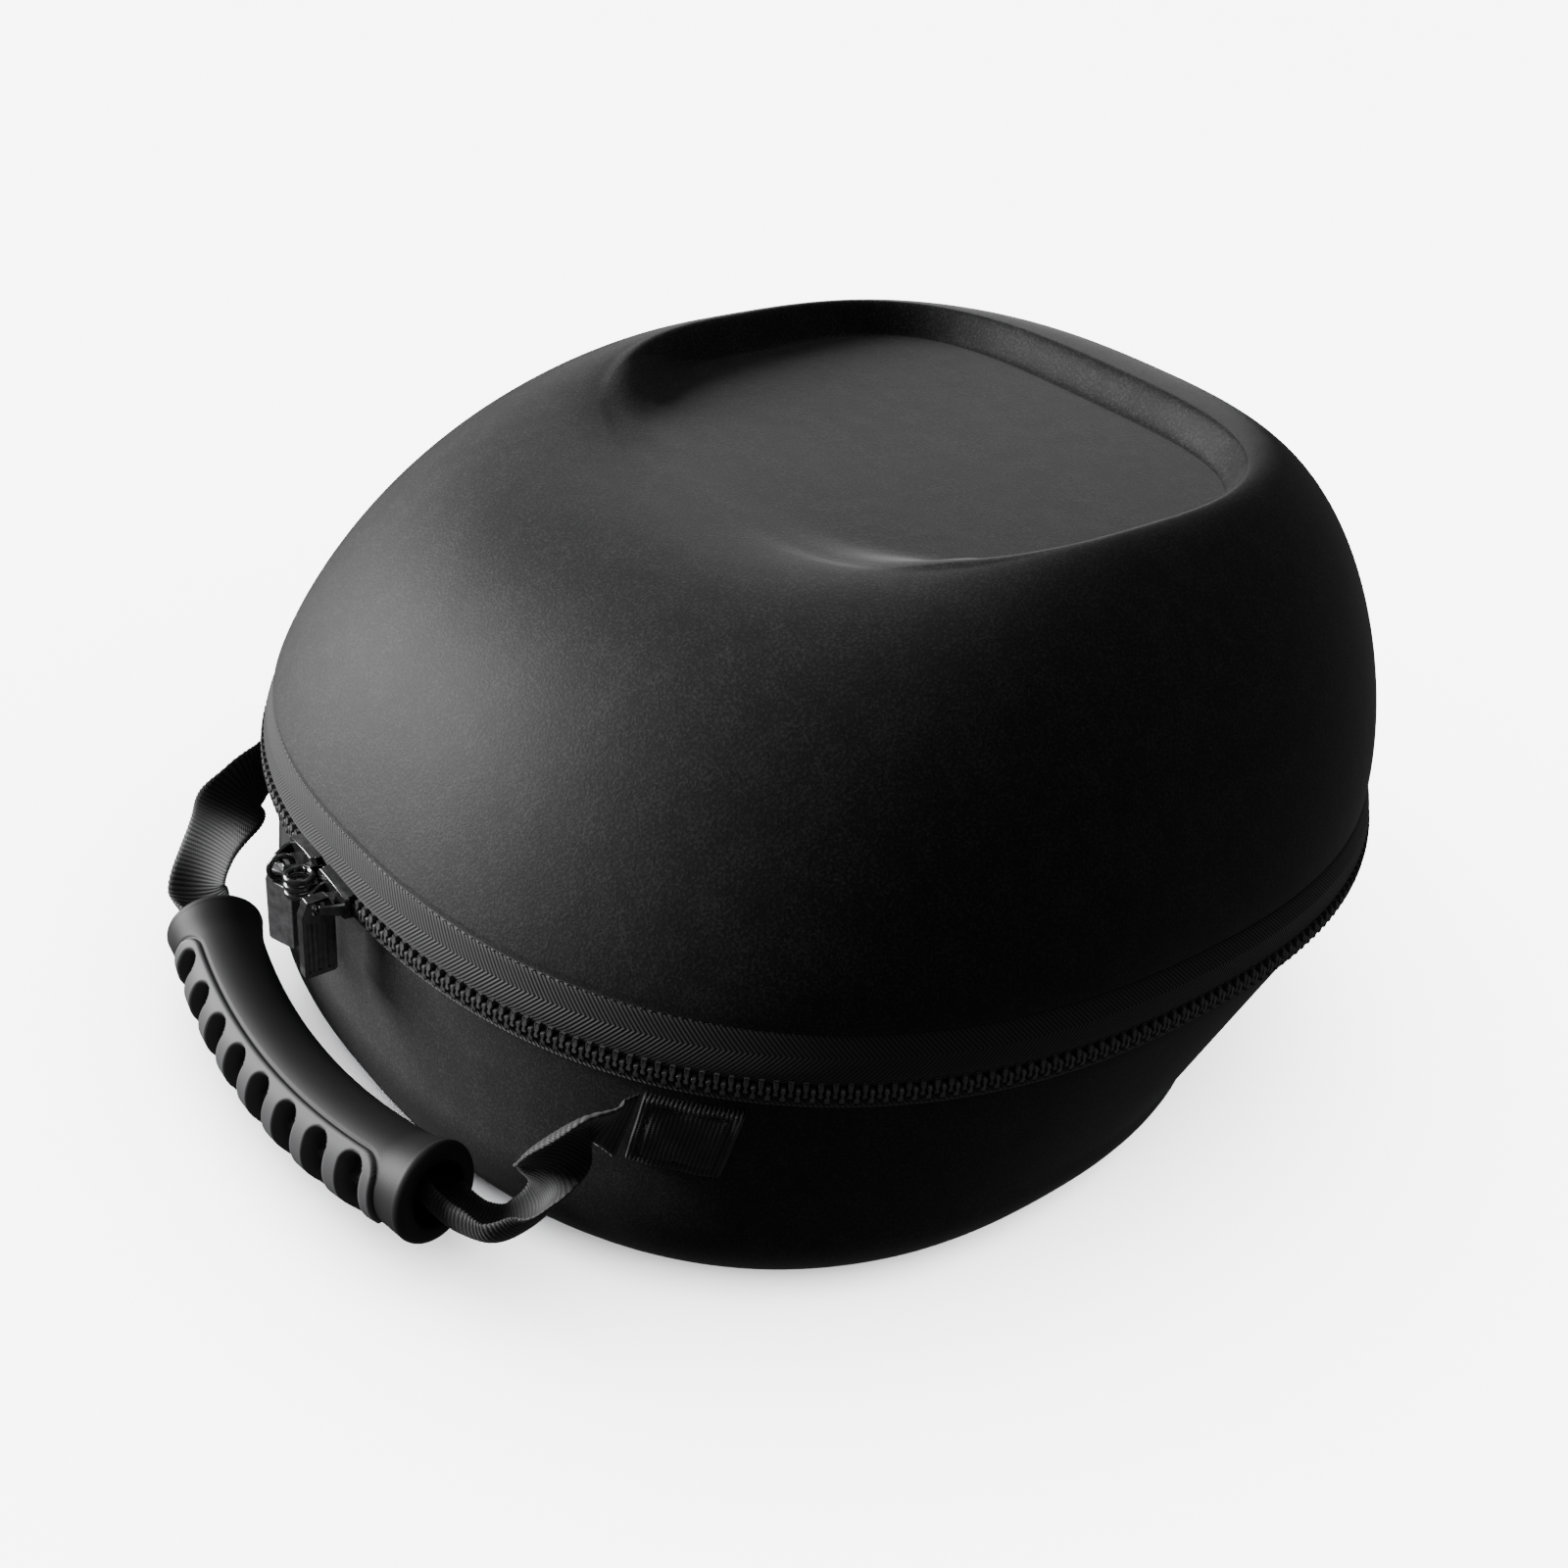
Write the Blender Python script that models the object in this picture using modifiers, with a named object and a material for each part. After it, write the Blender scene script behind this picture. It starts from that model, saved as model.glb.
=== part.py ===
"""Helmet bag: a moulded hard-shell case with a zip round its widest line and a rubber grip in front.

Units are metres and +Z is up. The front, with the handle, faces -Y. The origin is on the flat
bottom, under the middle of the zip line, and the bag stands on the plane z = 0.
"""
import math

import bmesh
import bpy
from mathutils import Matrix, Vector

# Driving sizes of the case
case_width = 0.300
case_length = 0.314
outline_squareness = 2.32
zip_height = 0.073
dome_rise = 0.0813
shell_wall = 0.0050
lip_height = 0.0030
bottom_corner = 0.0220
panel_depth = 0.0095
panel_front_depth = 0.0005
seam_gap = 0.0003

# Zip
tape_thickness = 0.0012
upper_tape_height = 0.0137
lower_tape_height = 0.0060
upper_tape_inset = 0.0033
lower_tape_inset = 0.0036
lower_tape_slant = 0.0018
chain_height = 0.0060
chain_thickness = 0.0026
chain_proud = 0.0008
hinge_width = 0.170
slider_meeting_x = -0.0100

# Sliders and pull tabs
slider_length = 0.0150
slider_height = 0.0092
slider_plate = 0.0016
slider_channel = 0.0034
slider_nose = 0.0040
slider_edge = 0.0005
chain_entry = 0.0040
join_overlap = 0.0006
nose_gap = 0.0010
slider_post_height = 0.0052
crown_span = 0.0100
crown_offset = 0.0015
crown_corner = 0.0012
crown_stand = 0.0050
crown_wire = 0.0009
lock_ring_radius = 0.0033
lock_ring_wire = 0.0008
lock_ring_pitch = 0.0023
lock_arm_width = 0.0022
lock_arm_start = 0.0010
lock_arm_half = 0.0007
link_radius = 0.0032
link_wire = 0.0008
tab_length = 0.0235
tab_width = 0.0090
tab_thickness = 0.0030
tab_eye = 0.0034
tab_head = 0.0010
tab_corner = 0.0008

# Webbing
webbing_width = 0.0200
webbing_thickness = 0.0016
strap_clear = 0.0015
strap_start_gap = 0.0005
anchor_length = 0.0250
anchor_x = 0.1040
anchor_drop = 0.0012

# Grip
grip_span = 0.1260
grip_bow = 0.0105
grip_out = 0.0095
grip_lean = math.radians(30)
grip_drop = 0.0465
grip_radius = 0.0118
grip_cuff = 0.0014
cuff_length = 0.0120
pad_raise = 0.0010
pad_half_angle = math.radians(56)
pad_end = 0.0105
pad_edge_turn = 0.09
pad_edge_run = 0.0030
slot_count = 8
slot_pitch = 0.0129
slot_width = 0.0068
slot_half_angle = math.radians(46)
slot_depth = 0.0042
grip_mouth_depth = 0.0100
grip_mouth_radius = 0.0080
mouth_sides = 14
cutter_over = 0.0040

half_width = case_width / 2
half_length = case_length / 2
ring_steps = 60
lid_edge_z = zip_height + upper_tape_height
lower_edge_z = zip_height - lower_tape_height

# How the lid leaves its edge, by direction: rise is a share of dome_rise
lid_profiles = {
    "front": {"rise": 0.85, "turn_in": 0.71, "climb": 1.93},
    "side": {"rise": 0.995, "turn_in": 1.50, "climb": 1.29},
    "back": {"rise": 1.00, "turn_in": 0.86, "climb": 0.85},
}

# Plan shapes of the lid's crest, of the panel's floor and of the bottom, as shares of the half sizes
plan_rings = {
    "crest": {"width": 0.565, "front": 0.350, "back": 0.640, "squareness": 2.9},
    "floor": {"width": 0.515, "front": 0.315, "back": 0.580, "squareness": 3.8},
    "waist": {"width": 0.930, "front": 0.990, "back": 0.640, "squareness": 2.32},
}


def clear_scene():
    """Remove whatever the scene holds."""
    for thing in list(bpy.data.objects):
        bpy.data.objects.remove(thing, do_unlink=True)


def make_collection(name):
    """Make a collection under the scene's own."""
    collection = bpy.data.collections.new(name)
    bpy.context.scene.collection.children.link(collection)
    return collection


def make_material(name, color, roughness, metallic=0.0):
    """Make a plain Principled material."""
    material = bpy.data.materials.new(name)
    material.use_nodes = True
    shader = material.node_tree.nodes["Principled BSDF"]
    shader.inputs["Base Color"].default_value = (*color, 1.0)
    shader.inputs["Roughness"].default_value = roughness
    shader.inputs["Metallic"].default_value = metallic
    return material


def finish_object(name, mesh, material, collection, location=(0, 0, 0)):
    """Wrap a mesh in an object of the part."""
    mesh.materials.append(material)
    thing = bpy.data.objects.new(name, mesh)
    thing.location = location
    collection.objects.link(thing)
    return thing


def shade(mesh, degrees=40):
    """Shade smooth apart from the sharp edges."""
    mesh.shade_smooth()
    mesh.set_sharp_from_angle(angle=math.radians(degrees))


def signed_power(value, power):
    """Raise the size of a number to a power and keep its sign."""
    return math.copysign(abs(value) ** power, value)


def plan_point(angle, width, front, back, squareness):
    """Give a point of a squared oval, by its angle from the front, in metres."""
    middle = (back - front) / 2
    reach = (back + front) / 2
    x = width * signed_power(math.sin(angle), 2 / squareness)
    y = middle - reach * signed_power(math.cos(angle), 2 / squareness)
    return Vector((x, y, 0.0))


def outline_point(angle, inset=0.0):
    """Give a point of the zip line, moved inwards by the inset."""
    point = plan_point(angle, half_width, half_length, half_length, outline_squareness)
    return point * (1 - inset / point.length)


def ring_point(kind, angle):
    """Give a point of one of the named plan rings."""
    row = plan_rings[kind]
    return plan_point(angle, row["width"] * half_width, row["front"] * half_length,
                      row["back"] * half_length, row["squareness"])


def lid_blend(angle, column):
    """Mix a column of the lid's profiles by direction."""
    along = math.cos(angle) ** 2
    end = "front" if math.cos(angle) > 0 else "back"
    return along * lid_profiles[end][column] + (1 - along) * lid_profiles["side"][column]


def crest_z(angle):
    """Give the height of the lid's crest in a direction."""
    return lid_edge_z + lip_height + lid_blend(angle, "rise") * dome_rise


def lid_point(angle, quarter):
    """Give a point of the lid's outside, quarter 0 at the lip and 1 at the crest."""
    turn = quarter * math.pi / 2
    inward = 1 - max(math.cos(turn), 0.0) ** lid_blend(angle, "turn_in")
    climb = math.sin(turn) ** lid_blend(angle, "climb")
    edge = outline_point(angle, upper_tape_inset)
    point = edge.lerp(ring_point("crest", angle), inward)
    lip_top = lid_edge_z + lip_height
    point.z = lip_top + (crest_z(angle) - lip_top) * climb
    return point


def panel_z(y):
    """Give the height of the sunken panel, which meets the crest at its front end."""
    back_y = plan_rings["floor"]["back"] * half_length
    front_y = -plan_rings["crest"]["front"] * half_length
    deep_z = crest_z(math.pi) - panel_depth
    shallow_z = crest_z(0.0) - panel_front_depth
    return deep_z + (shallow_z - deep_z) * (back_y - y) / (back_y - front_y)


def lower_point(angle, share):
    """Give a point of the lower shell's straight wall, share 0 at the lip and 1 at the corner."""
    top = outline_point(angle, lower_tape_inset)
    point = top.lerp(ring_point("waist", angle), share)
    lip_bottom = lower_edge_z - lip_height
    point.z = lip_bottom + (bottom_corner - lip_bottom) * share
    return point


def ring_angles(count=ring_steps):
    """Give evenly spaced angles round the case, from the front."""
    return [2 * math.pi * step / count for step in range(count)]


def skin_mesh(name, rings, lower_centre=None, upper_centre=None):
    """Join closed rings, listed from the bottom up, and close either end on a point."""
    form = bmesh.new()
    rows = [[form.verts.new(point) for point in ring] for ring in rings]
    for low, high in zip(rows, rows[1:]):
        for here in range(len(low)):
            after = (here + 1) % len(low)
            form.faces.new((low[here], low[after], high[after], high[here]))
    for centre, row, turned in ((lower_centre, rows[0], True), (upper_centre, rows[-1], False)):
        if centre is None:
            continue
        tip = form.verts.new(centre)
        for here in range(len(row)):
            after = (here + 1) % len(row)
            pair = (row[after], row[here]) if turned else (row[here], row[after])
            form.faces.new((*pair, tip))
    mesh = bpy.data.meshes.new(name)
    form.to_mesh(mesh)
    form.free()
    return mesh


def strip_mesh(name, rows):
    """Join open rows of points, listed from the bottom up."""
    form = bmesh.new()
    lines = [[form.verts.new(point) for point in row] for row in rows]
    for low, high in zip(lines, lines[1:]):
        for here in range(len(low) - 1):
            form.faces.new((low[here], low[here + 1], high[here + 1], high[here]))
    mesh = bpy.data.meshes.new(name)
    form.to_mesh(mesh)
    form.free()
    return mesh


def tube_mesh(name, sections):
    """Join closed sections along a path and cap both ends."""
    form = bmesh.new()
    rows = [[form.verts.new(point) for point in section] for section in sections]
    for near, far in zip(rows, rows[1:]):
        for here in range(len(near)):
            after = (here + 1) % len(near)
            form.faces.new((near[here], near[after], far[after], far[here]))
    form.faces.new(list(reversed(rows[0])))
    form.faces.new(rows[-1])
    bmesh.ops.recalc_face_normals(form, faces=form.faces)
    mesh = bpy.data.meshes.new(name)
    form.to_mesh(mesh)
    form.free()
    return mesh


def box_mesh(name, low, high):
    """Make a box between two corners."""
    low = Vector(low)
    high = Vector(high)
    form = bmesh.new()
    size = high - low
    place = Matrix.Translation((low + high) / 2) @ Matrix.Diagonal((*size, 1.0))
    bmesh.ops.create_cube(form, size=1.0, matrix=place)
    mesh = bpy.data.meshes.new(name)
    form.to_mesh(mesh)
    form.free()
    return mesh


def thicken(thing, thickness, outwards=False):
    """Give an open surface a wall on one side."""
    solid = thing.modifiers.new("wall", "SOLIDIFY")
    solid.thickness = thickness
    solid.offset = 1.0 if outwards else -1.0
    solid.use_even_offset = True
    solid.use_quality_normals = True


def helper_object(name, mesh, cutters, frame=None):
    """Make an object that only shapes another one."""
    thing = bpy.data.objects.new(name, mesh)
    thing.hide_render = True
    thing.display_type = "WIRE"
    cutters.objects.link(thing)
    if frame is not None:
        thing.matrix_world = frame
    return thing


def combine(thing, other, operation):
    """Add an exact boolean with another object."""
    boolean = thing.modifiers.new(operation.lower(), "BOOLEAN")
    boolean.operation = operation
    boolean.solver = "EXACT"
    boolean.object = other


def wire_mesh(name, points, radius, sides=10, closed=False):
    """Make a round wire along points that lie in one plane."""
    path = [Vector(point) for point in points]
    normal = Vector((0, 0, 0))
    for here in range(1, len(path) - 1):
        normal += (path[here] - path[here - 1]).cross(path[here + 1] - path[here])
    normal.normalize()
    sections = []
    count = len(path)
    for here in range(count):
        before = path[(here - 1) % count] if closed or here > 0 else path[here]
        after = path[(here + 1) % count] if closed or here < count - 1 else path[here]
        along = (after - before).normalized()
        side = along.cross(normal)
        turn = 1.0
        if before != path[here] and after != path[here]:
            bend = (path[here] - before).angle(after - path[here])
            turn = 1 / math.cos(bend / 2)
        section = []
        for step in range(sides):
            angle = 2 * math.pi * step / sides
            offset = side * math.cos(angle) * radius * turn + normal * math.sin(angle) * radius
            section.append(path[here] + offset)
        sections.append(section)
    if not closed:
        return tube_mesh(name, sections)
    form = bmesh.new()
    rows = [[form.verts.new(point) for point in section] for section in sections]
    for here in range(count):
        near = rows[here]
        far = rows[(here + 1) % count]
        for step in range(sides):
            after = (step + 1) % sides
            form.faces.new((near[step], near[after], far[after], far[step]))
    bmesh.ops.recalc_face_normals(form, faces=form.faces)
    mesh = bpy.data.meshes.new(name)
    form.to_mesh(mesh)
    form.free()
    return mesh


def circle_points(centre, radius, across, up, count=16):
    """Give points of a circle in the plane of two unit vectors."""
    centre = Vector(centre)
    points = []
    for step in range(count):
        angle = 2 * math.pi * step / count
        points.append(centre + Vector(across) * math.cos(angle) * radius + Vector(up) * math.sin(angle) * radius)
    return points


def build_lid(parts, material):
    """Lid: outer surface from its edge over the crest to the middle of the sunken panel."""
    angles = ring_angles()
    rings = []
    edge = [outline_point(angle, upper_tape_inset) for angle in angles]
    rings.append([Vector((point.x, point.y, lid_edge_z)) for point in edge])
    for step in range(9):
        rings.append([lid_point(angle, step / 8) for angle in angles])
    wall_shares = (0.35, 0.75, 1.0)
    wall_drops = (0.12, 0.72, 1.0)
    for share, drop in zip(wall_shares, wall_drops):
        ring = []
        for angle in angles:
            crest = ring_point("crest", angle)
            floor = ring_point("floor", angle)
            point = crest.lerp(floor, share)
            top = crest_z(angle)
            low = min(panel_z(floor.y), top)
            point.z = top + (low - top) * drop
            ring.append(point)
        rings.append(ring)
    centre_y = (plan_rings["floor"]["back"] - plan_rings["floor"]["front"]) / 2 * half_length
    centre = Vector((0, centre_y, panel_z(centre_y)))
    for shrink in (0.66, 0.33):
        ring = []
        for angle in angles:
            point = centre.lerp(ring_point("floor", angle), shrink)
            point.z = panel_z(point.y)
            ring.append(point)
        rings.append(ring)
    mesh = skin_mesh("lid_shell", rings, upper_centre=centre)
    shade(mesh)
    lid = finish_object("lid_shell", mesh, material, parts)
    thicken(lid, shell_wall)


def build_lower_shell(parts, material):
    """Lower shell: flat bottom, rounded corner, tapered wall and upright lip."""
    angles = ring_angles()
    centre_y = (plan_rings["waist"]["back"] - plan_rings["waist"]["front"]) / 2 * half_length
    centre = Vector((0, centre_y, 0))
    rings = []
    for shrink in (0.35, 0.70):
        ring = []
        for angle in angles:
            waist = ring_point("waist", angle)
            foot = waist - (waist - centre).normalized() * bottom_corner
            ring.append(centre.lerp(foot, shrink))
        rings.append(ring)
    corner_steps = 5
    for step in range(corner_steps + 1):
        turn = step / corner_steps * math.pi / 2
        ring = []
        for angle in angles:
            waist = ring_point("waist", angle)
            inward = (waist - centre).normalized() * bottom_corner * (1 - math.sin(turn))
            point = waist - inward
            point.z = bottom_corner * (1 - math.cos(turn))
            ring.append(point)
        rings.append(ring)
    for share in (0.75, 0.5, 0.25, 0.0):
        rings.append([lower_point(angle, share) for angle in angles])
    edge = [outline_point(angle, lower_tape_inset) for angle in angles]
    rings.append([Vector((point.x, point.y, lower_edge_z)) for point in edge])
    mesh = skin_mesh("lower_shell", rings, lower_centre=centre)
    shade(mesh)
    shell = finish_object("lower_shell", mesh, material, parts)
    thicken(shell, shell_wall)


def angle_at_x(x):
    """Give the angle, on the front half, where the zip line has a given x."""
    return math.asin(signed_power(x / half_width, outline_squareness / 2))


def band_angles(start_x, end_x, count, over_back=False):
    """Give angles between two x values, over the front or over the back."""
    start = angle_at_x(start_x)
    end = angle_at_x(end_x)
    if over_back:
        start = math.pi - start
        end = math.pi - end
    return [start + (end - start) * step / (count - 1) for step in range(count)]


def side_angles(sign, front_x, count):
    """Give angles from a place in front round one side to the hinge cloth at the back."""
    start = angle_at_x(front_x)
    end = math.pi - angle_at_x(hinge_width / 2)
    if sign < 0:
        end = -end
    return [start + (end - start) * step / (count - 1) for step in range(count)]


def band_mesh(name, angles, corners):
    """Sweep a section, given as pairs of inset and height, along the zip line."""
    sections = []
    for angle in angles:
        section = []
        for inset, z in corners:
            point = outline_point(angle, inset)
            point.z = z
            section.append(point)
        sections.append(section)
    return tube_mesh(name, sections)


def build_zip(parts, tape_material, teeth_material, cloth_material):
    """Zip: two tapes, the chain on each side of the sliders, and the cloth hinge at the back."""
    end = math.pi - angle_at_x(hinge_width / 2)
    tape_angles = [-end + 2 * end * step / 60 for step in range(61)]
    chain_top = zip_height + chain_height / 2
    chain_bottom = zip_height - chain_height / 2
    upper_low = chain_top + seam_gap
    upper_high = lid_edge_z - seam_gap
    lower_low = lower_edge_z + seam_gap
    lower_high = chain_bottom - seam_gap
    slant = lower_tape_slant
    upper = [(0.0, upper_low), (upper_tape_inset, upper_high),
             (upper_tape_inset + tape_thickness, upper_high), (tape_thickness, upper_low)]
    lower = [(lower_tape_inset, lower_low), (0.0, lower_high),
             (slant, lower_high), (lower_tape_inset + slant, lower_low)]
    for name, corners in (("upper_zip_tape", upper), ("lower_zip_tape", lower)):
        mesh = band_mesh(name, tape_angles, corners)
        shade(mesh)
        finish_object(name, mesh, tape_material, parts)

    covered = slider_length - chain_entry
    outer = -chain_proud
    inner = chain_thickness - chain_proud
    chain = [(outer, chain_bottom), (outer, chain_top), (inner, chain_top), (inner, chain_bottom)]
    for name, sign in (("left_zip_teeth", -1), ("right_zip_teeth", 1)):
        angles = side_angles(sign, slider_meeting_x + sign * covered, 31)
        mesh = band_mesh(name, angles, chain)
        shade(mesh)
        finish_object(name, mesh, teeth_material, parts)

    gap_x = hinge_width / 2 - seam_gap * 2
    hinge_angles = band_angles(gap_x, -gap_x, 17, over_back=True)
    cloth = [(lower_tape_inset, lower_low), (0.0, zip_height), (upper_tape_inset, upper_high),
             (upper_tape_inset + tape_thickness, upper_high), (tape_thickness, zip_height),
             (lower_tape_inset + tape_thickness, lower_low)]
    mesh = band_mesh("hinge_cloth", hinge_angles, cloth)
    shade(mesh)
    finish_object("hinge_cloth", mesh, cloth_material, parts)


def front_frame(x):
    """Give the place on the zip line at x, with the directions along it and outwards."""
    angle = angle_at_x(x)
    place = outline_point(angle)
    step = 0.001
    along = (outline_point(angle + step) - outline_point(angle - step)).normalized()
    outward = along.cross(Vector((0, 0, 1))).normalized()
    place.z = zip_height
    return place, along, outward


def frame_matrix(place, along, outward):
    """Local X along the zip line, local -Y outwards and local Z up."""
    matrix = Matrix((along, -outward, Vector((0, 0, 1)))).transposed().to_4x4()
    matrix.translation = place
    return matrix


def build_sliders(parts, cutters, material):
    """Sliders: two plates joined by a post, with a crown for the tab and lock rings at the nose."""
    nose_frame = frame_matrix(*front_frame(slider_meeting_x))
    channel_middle = chain_thickness / 2 - chain_proud
    outer_face = channel_middle - slider_channel / 2
    inner_face = channel_middle + slider_channel / 2
    crown_face = outer_face - slider_plate
    bar_y = crown_face - crown_stand
    ring_y = crown_face - lock_ring_radius - lock_ring_wire - seam_gap
    half = slider_length / 2
    tall = slider_height / 2
    frames = {}
    for name, sign in (("left_slider", -1), ("right_slider", 1)):
        middle_x = slider_meeting_x + sign * (half + nose_gap)
        frame = frame_matrix(*front_frame(middle_x))
        mesh = box_mesh(name, (-half, crown_face, -tall), (half, outer_face, tall))
        slider = finish_object(name, mesh, material, parts)
        slider.matrix_world = frame
        bevel = slider.modifiers.new("edge", "BEVEL")
        bevel.width = slider_edge
        bevel.segments = 1
        inner_tall = chain_height / 2
        inner = box_mesh(name + "_inner", (-half, inner_face, -inner_tall),
                         (half, inner_face + slider_plate, inner_tall))
        combine(slider, helper_object(name + "_inner", inner, cutters, frame), "UNION")
        nose = sorted((-sign * half, -sign * (half - slider_nose)))
        half_post = slider_post_height / 2
        post = box_mesh(name + "_post", (nose[0], outer_face - join_overlap, -half_post),
                        (nose[1], inner_face + join_overlap, half_post))
        combine(slider, helper_object(name + "_post", post, cutters, frame), "UNION")
        foot = crown_face + join_overlap
        half_span = crown_span / 2
        middle = sign * crown_offset
        arch = [(middle - half_span, foot, 0), (middle - half_span, bar_y + crown_corner, 0),
                (middle - half_span + crown_corner, bar_y, 0), (middle + half_span - crown_corner, bar_y, 0),
                (middle + half_span, bar_y + crown_corner, 0), (middle + half_span, foot, 0)]
        crown = wire_mesh(name + "_crown", arch, crown_wire)
        combine(slider, helper_object(name + "_crown", crown, cutters, frame), "UNION")
        levels = (-1, 1) if sign < 0 else (0,)
        for level in levels:
            z = level * lock_ring_pitch
            points = circle_points((0, ring_y, z), lock_ring_radius, (1, 0, 0), (0, 1, 0))
            ring = wire_mesh(name + "_ring", points, lock_ring_wire, sides=8, closed=True)
            combine(slider, helper_object(name + "_ring", ring, cutters, nose_frame), "UNION")
            arm_start = sign * lock_arm_start
            arm_x = sorted((arm_start, arm_start + sign * lock_arm_width))
            arm = box_mesh(name + "_arm", (arm_x[0], ring_y + lock_ring_radius / 2, z - lock_arm_half),
                           (arm_x[1], crown_face + join_overlap, z + lock_arm_half))
            combine(slider, helper_object(name + "_arm", arm, cutters, nose_frame), "UNION")
        frames[name] = frame @ Matrix.Translation((sign * crown_offset, bar_y, 0))
    return frames


def tab_outline(head_above):
    """Give the outline of a pull tab, hinge at the origin, hanging along -Z."""
    top = head_above
    bottom = top - tab_length
    half = tab_width / 2
    foot = tab_corner
    head = tab_corner * 2
    return [(-half + foot, bottom), (half - foot, bottom), (half, bottom + foot), (half, top - head),
            (half - head, top), (-half + head, top), (-half, top - head), (-half, bottom + foot)]


def plate_mesh(name, outline, facing):
    """Extrude an outline, facing Y or X, to a plate."""
    near = []
    far = []
    for across, up in outline:
        if facing == "Y":
            near.append(Vector((across, -tab_thickness / 2, up)))
            far.append(Vector((across, tab_thickness / 2, up)))
        else:
            near.append(Vector((-tab_thickness / 2, across, up)))
            far.append(Vector((tab_thickness / 2, across, up)))
    return tube_mesh(name, [near, far])


def build_tabs(parts, cutters, material, frames):
    """Pull tabs: the left one hangs on a ring and faces outwards, the right one sits on its crown."""
    eye = tab_eye / 2
    link_drop = link_radius - link_wire - crown_wire - seam_gap
    left_hinge = bpy.data.objects.new("left_pull_hinge", None)
    parts.objects.link(left_hinge)
    left_hinge.matrix_world = frames["left_slider"]
    points = circle_points((0, 0, -link_drop), link_radius, (0, 1, 0), (0, 0, 1))
    link = finish_object("left_pull_link", wire_mesh("left_pull_link", points, link_wire, 8, True), material, parts)
    link.parent = left_hinge
    eye_z = -link_drop - link_radius
    head = eye_z + eye + tab_head
    mesh = plate_mesh("left_pull_tab", tab_outline(head), "Y")
    left_tab = finish_object("left_pull_tab", mesh, material, parts)
    left_tab.parent = left_hinge
    hole = box_mesh("left_eye", (-eye, -tab_thickness, eye_z - eye), (eye, tab_thickness, eye_z + eye))
    combine(left_tab, helper_object("left_eye", hole, cutters, frames["left_slider"]), "DIFFERENCE")

    right_hinge = bpy.data.objects.new("right_pull_hinge", None)
    parts.objects.link(right_hinge)
    right_hinge.matrix_world = frames["right_slider"]
    hang = crown_wire + seam_gap - eye
    head = hang + eye + tab_head
    mesh = plate_mesh("right_pull_tab", tab_outline(head), "X")
    right_tab = finish_object("right_pull_tab", mesh, material, parts)
    right_tab.parent = right_hinge
    hole = box_mesh("right_eye", (-tab_thickness, -eye, hang - eye), (tab_thickness, eye, hang + eye))
    combine(right_tab, helper_object("right_eye", hole, cutters, frames["right_slider"]), "DIFFERENCE")


def shell_outward(angle, share):
    """Give the lower shell's outward direction at a place on its wall."""
    step = 0.01
    along = lower_point(angle + step, share) - lower_point(angle - step, share)
    up = lower_point(angle, max(share - step, 0)) - lower_point(angle, share + step)
    return along.cross(up).normalized()


def anchor_place(sign):
    """Give the angle at the middle of a sewn end, and half its width as an angle."""
    middle = abs(angle_at_x(anchor_x))
    speed = (outline_point(middle + 0.01) - outline_point(middle - 0.01)).length / 0.02
    return sign * middle, anchor_length / 2 / speed


def wall_share(depth):
    """Give the share down the lower shell's wall at a depth under its edge."""
    lip_bottom = lower_edge_z - lip_height
    return (depth - lip_height) / (lip_bottom - bottom_corner)


def build_anchors(parts, material):
    """Sewn ends of the webbing, lying on the lower shell just under the zip tape."""
    top = lip_height + anchor_drop
    for name, sign in (("left_strap_anchor", -1), ("right_strap_anchor", 1)):
        middle, half = anchor_place(sign)
        angles = [middle - half + 2 * half * step / 6 for step in range(7)]
        rows = []
        for level in (1.0, 0.5, 0.0):
            share = wall_share(top + webbing_width * level)
            rows.append([lower_point(angle, share) + shell_outward(angle, share) * seam_gap for angle in angles])
        mesh = strip_mesh(name, rows)
        shade(mesh)
        thicken(finish_object(name, mesh, material, parts), webbing_thickness, outwards=True)


# The free webbing on the right, from the sewn end (0) to the grip's mouth (1) along X, Y and Z.
# width and thickness are shares of the webbing's, and edge is where its upper edge points.
strap_sections = [
    {"x": 0.16, "y": 0.15, "z": 0.00, "width": 1.00, "thickness": 1.0, "edge": (0.00, 0.00, 1.00)},
    {"x": 0.27, "y": 0.36, "z": 0.08, "width": 1.00, "thickness": 1.0, "edge": (0.10, -0.10, 0.98)},
    {"x": 0.34, "y": 0.56, "z": 0.33, "width": 1.00, "thickness": 1.0, "edge": (0.60, 0.00, 0.80)},
    {"x": 0.42, "y": 0.74, "z": 0.68, "width": 0.98, "thickness": 1.0, "edge": (0.88, -0.10, 0.40)},
    {"x": 0.56, "y": 0.89, "z": 0.98, "width": 0.88, "thickness": 1.2, "edge": (0.80, -0.50, 0.12)},
    {"x": 0.78, "y": 0.97, "z": 1.08, "width": 0.72, "thickness": 1.8, "edge": (0.40, -0.85, 0.20)},
    {"x": 1.00, "y": 1.00, "z": 1.00, "width": 0.60, "thickness": 2.4, "edge": (0.00, -0.80, 0.50)},
]


def grip_centre(share):
    """Give a point of the grip's middle line, share -1 at its left end and 1 at its right."""
    bow = grip_bow * (1 - share ** 2)
    out = half_length + grip_out + bow * math.cos(grip_lean)
    return Vector((share * grip_span / 2, -out, zip_height - grip_drop - bow * math.sin(grip_lean)))


def grip_frame(share):
    """Give the grip's direction, outward side and upper side at a share."""
    along = (grip_centre(share + 0.01) - grip_centre(share - 0.01)).normalized()
    up = Vector((0, 0, 1))
    outward = along.cross(up).normalized()
    up = outward.cross(along).normalized()
    return along, outward, up


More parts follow.
